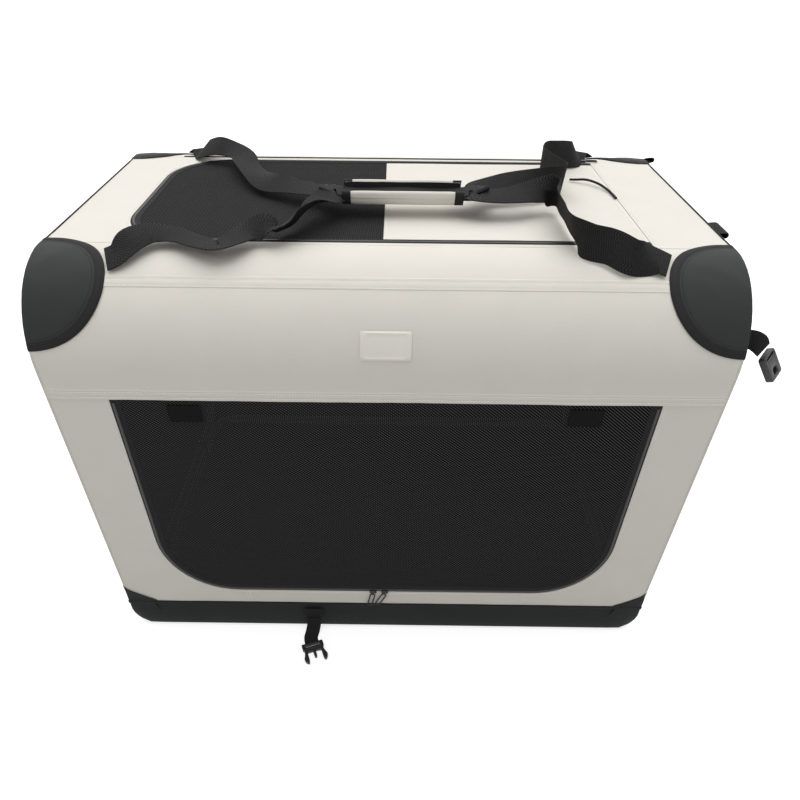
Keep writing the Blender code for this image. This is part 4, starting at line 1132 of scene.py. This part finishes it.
def smooth_route(points, step):
    """A smooth curve through given points, sampled about a step apart."""
    rows = [Vector(point) for point in points]
    spans = [(Vector(b[:3]) - Vector(a[:3])).length for a, b in zip(points, points[1:])]
    runs = [(b - a) / span for a, b, span in zip(rows, rows[1:], spans)]
    slopes = [runs[0]]
    for i in range(1, len(runs)):
        total = spans[i - 1] + spans[i]
        slopes.append(runs[i - 1] * (spans[i] / total) + runs[i] * (spans[i - 1] / total))
    slopes.append(runs[-1])
    made = []
    for i, span in enumerate(spans):
        count = max(1, round(span / step))
        for k in range(count):
            t = k / count
            place = rows[i] * (2 * t ** 3 - 3 * t ** 2 + 1)
            place += rows[i + 1] * (3 * t ** 2 - 2 * t ** 3)
            place += slopes[i] * (span * (t ** 3 - 2 * t ** 2 + t))
            place += slopes[i + 1] * (span * (t ** 3 - t ** 2))
            made.append(tuple(place))
    made.append(tuple(rows[-1]))
    return made


def webbing(name, route, width, thickness, body, node, folds=False):
    """A short webbing along given rows of (x, y, z, wx, wy, wz)."""
    made = ribbon(name, smooth_route(route, ROUTE_STEP), width, thickness)
    dress(made, body, node, folds)


# The straps' slack on each side of the wrap, as in the part's source: the share of the way from
# the wrap's end to the guard along X, the share from the handle's line to the sewn end along Y,
# the height above the roof, and the direction of the webbing's width.
FRONT_SLACK_LEFT = (
    (0.896, 0.893, 0.0118, -0.71, 0.63, 0.32),
    (0.841, 0.801, 0.0138, -0.52, 0.81, 0.27),
    (0.770, 0.764, 0.0118, -0.02, 0.99, 0.14),
    (0.687, 0.793, 0.0098, 0.40, 0.91, -0.03),
    (0.584, 0.894, 0.0088, 0.47, 0.87, -0.11),
    (0.512, 0.943, 0.0098, -0.14, 0.99, -0.10),
    (0.455, 0.863, 0.0118, -0.73, 0.68, -0.04),
    (0.400, 0.751, 0.0138, -0.58, 0.79, 0.18),
    (0.334, 0.730, 0.0178, -0.11, 0.86, 0.51),
    (0.270, 0.744, 0.0188, -0.49, 0.82, -0.29),
    (0.222, 0.619, 0.0198, -0.57, 0.39, -0.72),
    (0.168, 0.474, 0.0218, -0.60, 0.34, -0.73),
    (0.119, 0.277, 0.0238, -0.88, 0.45, -0.13),
    (0.051, 0.108, 0.0238, -0.81, 0.52, 0.28),
)
FRONT_SLACK_RIGHT = (
    (0.088, 0.115, 0.0248, 0.00, 1.00, 0.08),
    (0.179, 0.114, 0.0238, -0.03, 0.99, 0.13),
    (0.281, 0.106, 0.0248, -0.25, 0.95, 0.21),
    (0.390, 0.040, 0.0248, -0.37, 0.84, 0.40),
    (0.476, -0.013, 0.0248, -0.16, 0.72, 0.68),
    (0.532, -0.003, 0.0248, -0.07, -0.07, 0.99),
    (0.535, 0.243, 0.0228, -0.34, -0.03, 0.94),
    (0.534, 0.530, 0.0218, -0.36, -0.03, 0.93),
    (0.547, 0.806, 0.0205, -0.28, -0.11, 0.95),
    (0.586, 0.925, 0.0177, 0.22, 0.04, 0.98),
    (0.706, 0.975, 0.0138, 0.35, 0.42, 0.84),
    (0.794, 1.043, 0.0078, 0.47, 0.41, 0.78),
)
REAR_SLACK_LEFT = (
    (0.887, 0.822, 0.0148, 0.27, 0.85, 0.46),
    (0.802, 0.781, 0.0218, 0.31, 0.83, 0.47),
    (0.703, 0.747, 0.0188, 0.51, 0.83, 0.25),
    (0.647, 0.697, 0.0168, 0.87, 0.49, 0.10),
    (0.588, 0.556, 0.0138, 0.90, 0.40, -0.16),
    (0.512, 0.403, 0.0118, 0.87, 0.49, -0.02),
    (0.404, 0.239, 0.0128, 0.67, 0.64, 0.38),
    (0.290, 0.174, 0.0138, 0.49, 0.84, 0.22),
    (0.174, 0.110, 0.0148, 0.45, 0.89, 0.10),
    (0.078, 0.070, 0.0158, 0.40, 0.92, 0.05),
)
REAR_SLACK_RIGHT = (
    (0.148, 0.120, 0.0188, -0.18, 0.95, 0.25),
    (0.243, 0.131, 0.0218, -0.21, 0.90, 0.38),
    (0.364, 0.154, 0.0228, -0.09, 0.83, 0.55),
    (0.483, 0.149, 0.0228, -0.04, 0.54, 0.84),
    (0.576, 0.168, 0.0228, -0.06, 0.12, 0.99),
    (0.638, 0.219, 0.0228, 0.08, -0.02, 1.00),
    (0.623, 0.328, 0.0228, 0.03, 0.01, 1.00),
    (0.591, 0.442, 0.0228, -0.02, -0.00, 1.00),
    (0.572, 0.553, 0.0228, -0.00, -0.02, 1.00),
    (0.607, 0.618, 0.0238, -0.03, 0.08, 1.00),
    (0.710, 0.685, 0.0208, -0.06, 0.26, 0.96),
    (0.828, 0.745, 0.0176, -0.20, 0.49, 0.85),
)


def sewn_end(side, sign, lift):
    """The strap's two rows at its sewn end, under the guard and just clear of it."""
    turn = math.radians(STRAP_TURN)
    reach = GUARD_REACH + STRAP_INSET
    length = GUARD_CENTRE - (GUARD_HALF_HEIGHT + STRAP_INSET) * math.sin(turn)
    (y, z), (out_y, out_z) = seam_point(length, GAP + STRAP_THICKNESS, side)
    place = Vector((sign * (SKIN_X - reach * math.cos(turn)), y, z))
    along = Vector((-sign, 0.0, 0.0))
    uphill = Vector((0.0, -side * out_z, side * out_y))
    run = along * math.cos(turn) + uphill * math.sin(turn)
    across = -side * (uphill * math.cos(turn) - along * math.sin(turn))
    after = place + run * SEWN_RUN + Vector((0.0, out_y, out_z)) * lift
    return (*place, *across), (*after, *across)


def strap_rows(side, left, right, level, rise, lift):
    """The strap's rows left of the wrap, inside it and right of it."""
    first, last = sewn_end(side, -1, lift), sewn_end(side, 1, lift)

    def drawn(row, sewn, start):
        out, aside, height = row[:3]
        y = HANDLE_Y + aside * (sewn[1] - HANDLE_Y)
        return (start + out * (sewn[0] - start), y, SKIN_Z + height, *row[3:])

    rows = [*first, *[drawn(row, first[0], WRAP_FROM) for row in left]]
    for x, z in ((WRAP_FROM - WRAP_RUN, level + rise), (WRAP_FROM, level), (WRAP_X, level),
                 (WRAP_TO, level), (WRAP_TO + WRAP_RUN, level + rise)):
        rows.append((x, HANDLE_Y, z, 0.0, 1.0, 0.0))
    return rows + [drawn(row, last[0], WRAP_TO) for row in right] + [*reversed(last)]


def build_straps():
    straps = (
        ("front", -1, FRONT_SLACK_LEFT, FRONT_SLACK_RIGHT, HANDLE_Z + 0.004, 0.002, 0.003),
        ("rear", 1, REAR_SLACK_LEFT, REAR_SLACK_RIGHT, HANDLE_Z, 0.0, 0.005),
    )
    for end, *shape in straps:
        samples = smooth_route(strap_rows(*shape), 0.003)
        held = [i for i, (x, y, *_) in enumerate(samples)
                if WRAP_FROM <= x <= WRAP_TO and abs(y - HANDLE_Y) < 0.001]
        a, b = held[0] + 2, held[-1] - 2
        middle = ribbon(f"strap_{end}_held", samples[a:b + 1], STRAP_WIDTH, STRAP_THICKNESS)
        dress(middle, "carry_handle", f"carry_strap_{end}")
        for side, part, start, stop in (("left", samples[:a + 1], samples[0], samples[a]),
                                        ("right", samples[b:], samples[-1], samples[b])):
            made = ribbon(f"strap_{end}_{side}", part, STRAP_WIDTH, STRAP_THICKNESS)
            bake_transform(made)


# How far along the wrap each of its sections stands
WRAP_SECTIONS = (0.0, 0.004, 0.009, 0.016, 0.030, 0.050, 0.075, 0.100, 0.120, 0.134, 0.141, 0.146,
                 WRAP_LENGTH)


def build_wrap():
    """The padded wrap: a U of two plump sides with a black lining and bound ends."""
    top = SKIN_Z + WRAP_LIFT + WRAP_DEPTH
    bottom = SKIN_Z + WRAP_LIFT + 0.0024
    inner_half = STRAP_WIDTH / 2 + 4 * GAP
    outer_half = inner_half + WRAP_WALL
    corner = WRAP_CORNER + WRAP_WALL
    wall = WRAP_WALL / 2

    def half_section(puff):
        inner = arc((inner_half - WRAP_CORNER, bottom + corner), WRAP_CORNER, -90, 0, 6)
        inner.append((inner_half, top))
        outer = arc((outer_half - corner, bottom + corner), corner + puff * 0.4, -90, 0, 8)
        outer += [(outer_half + puff, bottom + corner + 0.001), (outer_half + puff, top - 0.001)]
        outer += arc((inner_half + wall + puff / 2, top), wall + puff / 2, 0, 180, 8)[:-1]
        return outer, inner

    verts, uvs = [], []
    for gone in WRAP_SECTIONS:
        puff = 0.0030 * min(1.0, min(gone, WRAP_LENGTH - gone) / 0.016) ** 0.5
        x = WRAP_FROM + gone
        outer, inner = half_section(puff)
        half = [(u, v, True) for u, v in outer] + [(u, v, False) for u, v in reversed(inner)]
        section = half + [(-u, v, shell) for u, v, shell in reversed(half)]
        for u, v, shell in section:
            crease = 0.0004 * ripple(x, v + u, 0.012, 6.6) if shell else 0.0
            verts.append(Vector((x, HANDLE_Y + u * (1 + crease * 20), v + crease)))
            uvs.append((x, u + v))
    lined = [int(not shell) for _, _, shell in section]
    rings, count = len(WRAP_SECTIONS), len(section)
    slots = [max(lined[j], lined[(j + 1) % count]) for _ in range(rings - 1) for j in range(count)]
    made = finish_mesh("wrap_pad", verts, bands(rings, count) + caps(rings, count), uvs,
                       [GREY, BLACK_BAND], slots + [1, 1], 50.0)
    dress(made, "carry_handle", "handle_wrap")
    outer, _ = half_section(0.0012)
    path = [(u + 0.0006, v) for u, v in outer]
    rim = [(-u, v) for u, v in reversed(path)] + [(0.0, bottom - 0.0008)] + path
    section = [(-0.0055, -0.0006), (0.0055, -0.0006), (0.0055, 0.0008), (-0.0055, 0.0008)]
    across = [(1.0, 0.0, 0.0)] * len(rim)
    for side, sign in SIDES:
        x = WRAP_X + sign * (WRAP_LENGTH / 2 - 0.004)
        places = [Vector((x, HANDLE_Y + u, v)) for u, v in rim]
        band = swept(f"wrap_binding_{side}", places, section, BLACK_BAND, across)
        dress(band, "carry_handle")


# The tie's route: back from the roof door's hinge, Y, and lift
TIE_ROUTE = (
    (0.0026, -0.004, 0.0), (0.0036, 0.014, 0.0), (0.0076, 0.034, 0.001), (0.0176, 0.054, 0.003),
    (0.0316, 0.068, 0.003), (0.0416, 0.074, 0.001), (0.0496, 0.078, 0.0),
)


def build_tie():
    radius = 0.0016
    level = SKIN_Z + GAP + radius
    route = [(ROOF_HINGE - back, y, level + lift) for back, y, lift in TIE_ROUTE]
    places = [Vector(p) for p in smooth_route(route, ROUTE_STEP)]
    made = tube("tie_cord", places, radius, BLACK_BAND, 10)
    dress(made, "roof", "roof_tie")


# The edge tabs' fold: the share of their reach, and lift
TAB_FOLD = ((0.0, 0.0), (0.55, 0.0008), (0.92, 0.0002), (1.0, -0.0022), (0.90, -0.0044),
            (0.5, -0.0044), (0.0, -0.0030))


def build_edge_tabs():
    """Folded webbing tabs that stand out of the right end's top seam."""
    for end, side in ENDS:
        low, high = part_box(f"edge_tab_{end}")
        reach, centre = high - low, (low + high) / 2
        lean = math.atan2(reach.z, reach.y) if end == "rear" else 0.0
        along = Vector((0.0, math.cos(lean), -side * math.sin(lean)))
        start = Vector((low.x, centre.y, centre.z + 0.0012))
        out = Vector((reach.x, 0.0, 0.0))
        normal = Vector((0.0, -along.z, along.y))
        places = [start + out * share + normal * lift for share, lift in TAB_FOLD]
        route = [(*place, *along) for place in places]
        width = math.hypot(reach.y, reach.z) - 0.001
        webbing(f"edge_tab_webbing_{end}", route, width, TAB_THICKNESS, "roof", f"edge_tab_{end}")


# Half of the male buckle in (across, along), from the bar to the prong's tip and back
MALE_HALF = [
    (0.0160, 0.0), (0.0170, 0.001), (0.0170, 0.0095), (0.0155, 0.0120), (0.0152, 0.0150),
    (0.0158, 0.0190), (0.0172, 0.0235), (0.0184, 0.0262), (0.0184, 0.0285), (0.0174, 0.0320),
    (0.0152, 0.0352), (0.0134, 0.0360), (0.0116, 0.0345), (0.0110, 0.0300), (0.0110, 0.0180),
    (0.0102, 0.0162), (0.0030, 0.0158), (0.0022, 0.0170), (0.0020, 0.0260), (0.0008, 0.0282),
]


def build_front_clasp():
    """The webbing that lies in front of the tray, its keeper, and the male buckle."""
    front = -(TRAY_HIGH.y + GAP + KEEPER_DEPTH)
    low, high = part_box("front_keeper")
    lift = SLIM_LIFT + SLIM_THICKNESS / 2
    yaw = math.radians(BUCKLE_YAW)
    end = (KEEPER_X - 0.0025, front - 0.032)
    route = (
        (KEEPER_X, front - 0.0012, low.z + 0.0015, 1.0, 0.0, 0.0),
        (KEEPER_X, front - 0.0020, low.z - 0.0025, 1.0, 0.0, 0.0),
        (KEEPER_X - 0.001, front - 0.0035, low.z / 2, 1.0, 0.0, 0.0),
        (KEEPER_X - 0.003, front - 0.0085, 0.0035, 1.0, 0.05, 0.0),
        (KEEPER_X - 0.005, front - 0.0200, lift, 0.98, 0.17, 0.0),
        (*end, lift, math.cos(yaw), math.sin(yaw), 0.0),
    )
    webbing("front_clasp_webbing", route, SLIM_WIDTH, SLIM_THICKNESS, "front_clasp",
            "front_webbing")
    folded = ((0.0012, high.z), (0.0002, high.z - 0.006), (0.0, (low.z + high.z) / 2),
              (0.0002, low.z + 0.004), (0.0010, low.z))
    route = [(KEEPER_X, low.y + back, z, 1.0, 0.0, 0.0) for back, z in folded]
    webbing("keeper_webbing", route, high.x - low.x, KEEPER_THICKNESS, "base", "front_keeper")
    clear = 2 * GAP
    start = (end[0] + clear * math.sin(yaw), end[1] - clear * math.cos(yaw), SLIM_LIFT + 0.003)
    place = Matrix.Translation(start) @ Matrix.Rotation(math.pi + yaw, 4, "Z")
    loop = MALE_HALF + [(-u, v) for u, v in reversed(MALE_HALF)]
    slot = rounded_rectangle(0.012, 0.0018, 0.001, 3, (0.0, 0.0055))
    buckle = solid("buckle_prongs", [loop, slot], 0.0058, PLASTIC, 0.0007, place)
    dress(buckle, "front_clasp", "front_buckle")
    outline = rounded_rectangle(0.0135, 0.0012, 0.0011, 3, (0.0, 0.0108))
    bar = solid("buckle_bar", [outline], 0.0070, PLASTIC, 0.0006, place)
    dress(bar, "front_clasp")


def build_end_clasp():
    """The webbing that stands out of the right end, and the female buckle on it."""
    y = END_WEBBING_INSET - TRAY_HIGH.y
    z = SKIN_Z - END_WEBBING_DROP
    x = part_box("end_webbing")[0].x
    route = (
        (x, y, z, 0.0, 0.0, 1.0),
        (x + 0.010, y - 0.002, z, 0.05, 0.05, 0.99),
        (x + 0.019, y - 0.004, z - 0.004, 0.25, 0.25, 0.90),
        (x + 0.026, y - 0.006, z - 0.011, 0.45, 0.55, 0.65),
    )
    webbing("end_clasp_webbing", route, SLIM_WIDTH, SLIM_THICKNESS, "end_clasp", "end_webbing",
            True)
    body = rounded_rectangle(0.0125, 0.0170, 0.0035, 4)
    slot = rounded_rectangle(0.0088, 0.0016, 0.001, 3, (0.0, 0.0125))
    window = rounded_rectangle(0.0040, 0.0045, 0.0018, 4, (0.0, -0.0075))
    up = Vector((-0.55, 0.12, 0.80)).normalized()
    across = Vector((0.55, 0.65, 0.30))
    across = (across - across.dot(up) * up).normalized()
    turn = Matrix((across, up.cross(across), up)).transposed().to_4x4()
    upright = Matrix.Rotation(math.radians(90), 4, "X")
    place = Matrix.Translation((x + 0.0395, y - 0.009, z - 0.029)) @ turn @ upright
    buckle = solid("buckle_socket", [body, slot, window], 0.0085, PLASTIC, 0.0016, place)
    dress(buckle, "end_clasp", "end_buckle", True)


def slider(end, side, body):
    """A slider's body over its solid; gives the solid's middle and its size."""
    low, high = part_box(f"{end}_slider_{side}")
    centre, size = (low + high) / 2, high - low
    upright = end == "front"
    tall, deep = (size.z, size.y) if upright else (size.y, size.z)
    turn = Matrix.Rotation(math.radians(90), 4, "X") if upright else Matrix()
    outline = rounded_rectangle(size.x / 2, tall / 2, 0.0024, 4)
    made = solid(f"slider_body_{end}_{side}", [outline], deep, METAL, 0.0009,
                 Matrix.Translation(centre) @ turn)
    dress(made, body, f"{end}_slider_{side}", upright)
    return centre, size


def pull_wire(name, places, radius, normal):
    """A pull of bent wire: a long loop in the plane across normal."""
    section = arc((0.0, 0.0), radius, 0, 360, 8)[:-1]
    return swept(name, places, section, METAL, [normal] * len(places), True)


# How far the front pulls lean off the upright, in degrees
PULL_LEAN = {"left": 12.0, "right": 26.0}


def build_sliders():
    for side, sign in SIDES:
        slider("front", side, f"zip_slider_{side}")
        low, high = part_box(f"front_pull_{side}")
        top = high.z + 0.0014
        pivot = Vector(((low.x + high.x) / 2, (low.y + high.y) / 2, top))
        swing = Matrix.Rotation(math.radians(PULL_LEAN[side]), 4, "Y")
        loop = rounded_rectangle(0.0034, (top - low.z) / 2 - 0.0008, 0.0034, 8,
                                 (pivot.x, (low.z + top) / 2))
        places = [pivot + swing @ (Vector((u, pivot.y, v)) - pivot) for u, v in loop]
        wire = pull_wire(f"pull_wire_front_{side}", places, 0.0011, (0.0, -1.0, 0.0))
        dress(wire, f"zip_pull_{side}", f"front_pull_{side}", True)
        body = "roof_slider" if side == "left" else "roof"
        centre, size = slider("roof", side, body)
        middle = (centre.x + sign * (size.x / 2 + 0.009), centre.y)
        loop = rounded_rectangle(0.009, 0.004, 0.004, 8, middle)
        places = [Vector((u, v, centre.z)) for u, v in loop]
        wire = pull_wire(f"pull_wire_roof_{side}", places, 0.00085, (0.0, 0.0, 1.0))
        dress(wire, body)


# The frame's own nodes, and the studio


def dress_nodes():
    kinds = {"tube_steel": STEEL, "black_plastic": PLASTIC, "floor_board": BOARD}
    for entry in FRAME["record"]["subparts"]:
        obj = FRAME["nodes"][entry["node"]]
        mat = kinds.get(entry["material_slot"])
        if mat and not obj.hide_render:
            obj.data.materials.clear()
            obj.data.materials.append(mat)


# Camera fitted to the photograph: a place, three turns in degrees, and the lens
CAMERA_PLACE = (0.0081, -0.9369, 0.8637)
CAMERA_TURNS = {"down": 42.119, "yaw": -0.262, "roll": 0.533}
CAMERA_LENS = 29.127
CAMERA_SHIFT = (0.01379, 0.12554)


def build_camera():
    down, yaw, roll = (math.radians(CAMERA_TURNS[turn]) for turn in ("down", "yaw", "roll"))
    flat = math.cos(down)
    ahead = Vector((math.sin(yaw) * flat, math.cos(yaw) * flat, -math.sin(down)))
    level = Vector((math.cos(yaw), -math.sin(yaw), 0.0))
    above = level.cross(ahead)
    right = level * math.cos(roll) + above * math.sin(roll)
    up = above * math.cos(roll) - level * math.sin(roll)
    data = bpy.data.cameras.new("camera")
    data.sensor_width = 36.0
    data.lens = CAMERA_LENS
    data.shift_x, data.shift_y = CAMERA_SHIFT
    data.clip_start = 0.05
    data.clip_end = 100.0
    camera = add_object("camera", data)
    turn = Matrix((right, up, -ahead)).transposed().to_4x4()
    camera.matrix_world = Matrix.Translation(CAMERA_PLACE) @ turn
    bpy.context.scene.camera = camera


# One wide sun overhead, leaning back from the camera (both angles in degrees), and the sky
KEY_STRENGTH = 2.40
KEY_WIDTH = 90.0
KEY_LEAN = 22.0
SKY = 0.67
FLOOR_GREY = 0.50
FLOOR_GLOW = 0.70
FLOOR_REACH = 30.0


def build_sun():
    data = bpy.data.lights.new("key", "SUN")
    data.energy = KEY_STRENGTH
    data.angle = math.radians(KEY_WIDTH)
    lamp = add_object("key", data)
    lamp.location = (0.0, 0.6, 2.5)
    lamp.rotation_euler = (-math.radians(KEY_LEAN), 0.0, 0.0)


def seen_rays(tree):
    """1 for a ray from the camera, a mirror or a glass, and 0 for one that only lights."""
    rays = tree.nodes.new("ShaderNodeLightPath")
    total = rays.outputs["Is Camera Ray"]
    for kind in ("Is Glossy Ray", "Is Transmission Ray"):
        total = maths(tree, "MAXIMUM", total, rays.outputs[kind])
    return total


def floor_material():
    """A pale floor that the camera, and what mirrors it, sees as white outside the shadow."""
    made = principled("studio_floor", even(FLOOR_GREY), 0.95, specular=0.1)
    tree = made.node_tree
    shader = tree.nodes["Principled BSDF"]
    glow = maths(tree, "MULTIPLY", seen_rays(tree), FLOOR_GLOW)
    shader.inputs["Emission Color"].default_value = (1.0, 1.0, 1.0, 1.0)
    tree.links.new(glow, shader.inputs["Emission Strength"])
    return made


def build_studio():
    world = bpy.data.worlds.new("studio")
    bpy.context.scene.world = world
    world.use_nodes = True
    tree = world.node_tree
    back = tree.nodes["Background"]
    back.inputs["Color"].default_value = (1.0, 1.0, 1.0, 1.0)
    pick = tree.nodes.new("ShaderNodeMapRange")
    pick.inputs["To Min"].default_value = SKY
    pick.inputs["To Max"].default_value = 1.0
    tree.links.new(seen_rays(tree), pick.inputs["Value"])
    tree.links.new(pick.outputs["Result"], back.inputs["Strength"])
    floor_mesh = bpy.data.meshes.new("studio_floor")
    signs = ((-1, -1), (1, -1), (1, 1), (-1, 1))
    corners = [(sx * FLOOR_REACH, sy * FLOOR_REACH, 0.0) for sx, sy in signs]
    floor_mesh.from_pydata(corners, [], [(0, 1, 2, 3)])
    floor_mesh.materials.append(floor_material())
    add_object("studio_floor", floor_mesh)
    build_sun()
    bpy.context.scene.view_settings.view_transform = "Standard"


def main():
    build_flap()
    build_front_wall()
    build_rear_wall()
    build_ends()
    build_corner_seams()
    build_roof_panel()
    build_roof_door()
    build_front_door()
    build_guards()
    build_label()
    build_tray()
    build_tray_ears()
    build_straps()
    build_wrap()
    build_tie()
    build_edge_tabs()
    build_front_clasp()
    build_end_clasp()
    build_sliders()
    dress_nodes()
    build_camera()
    build_studio()


main()
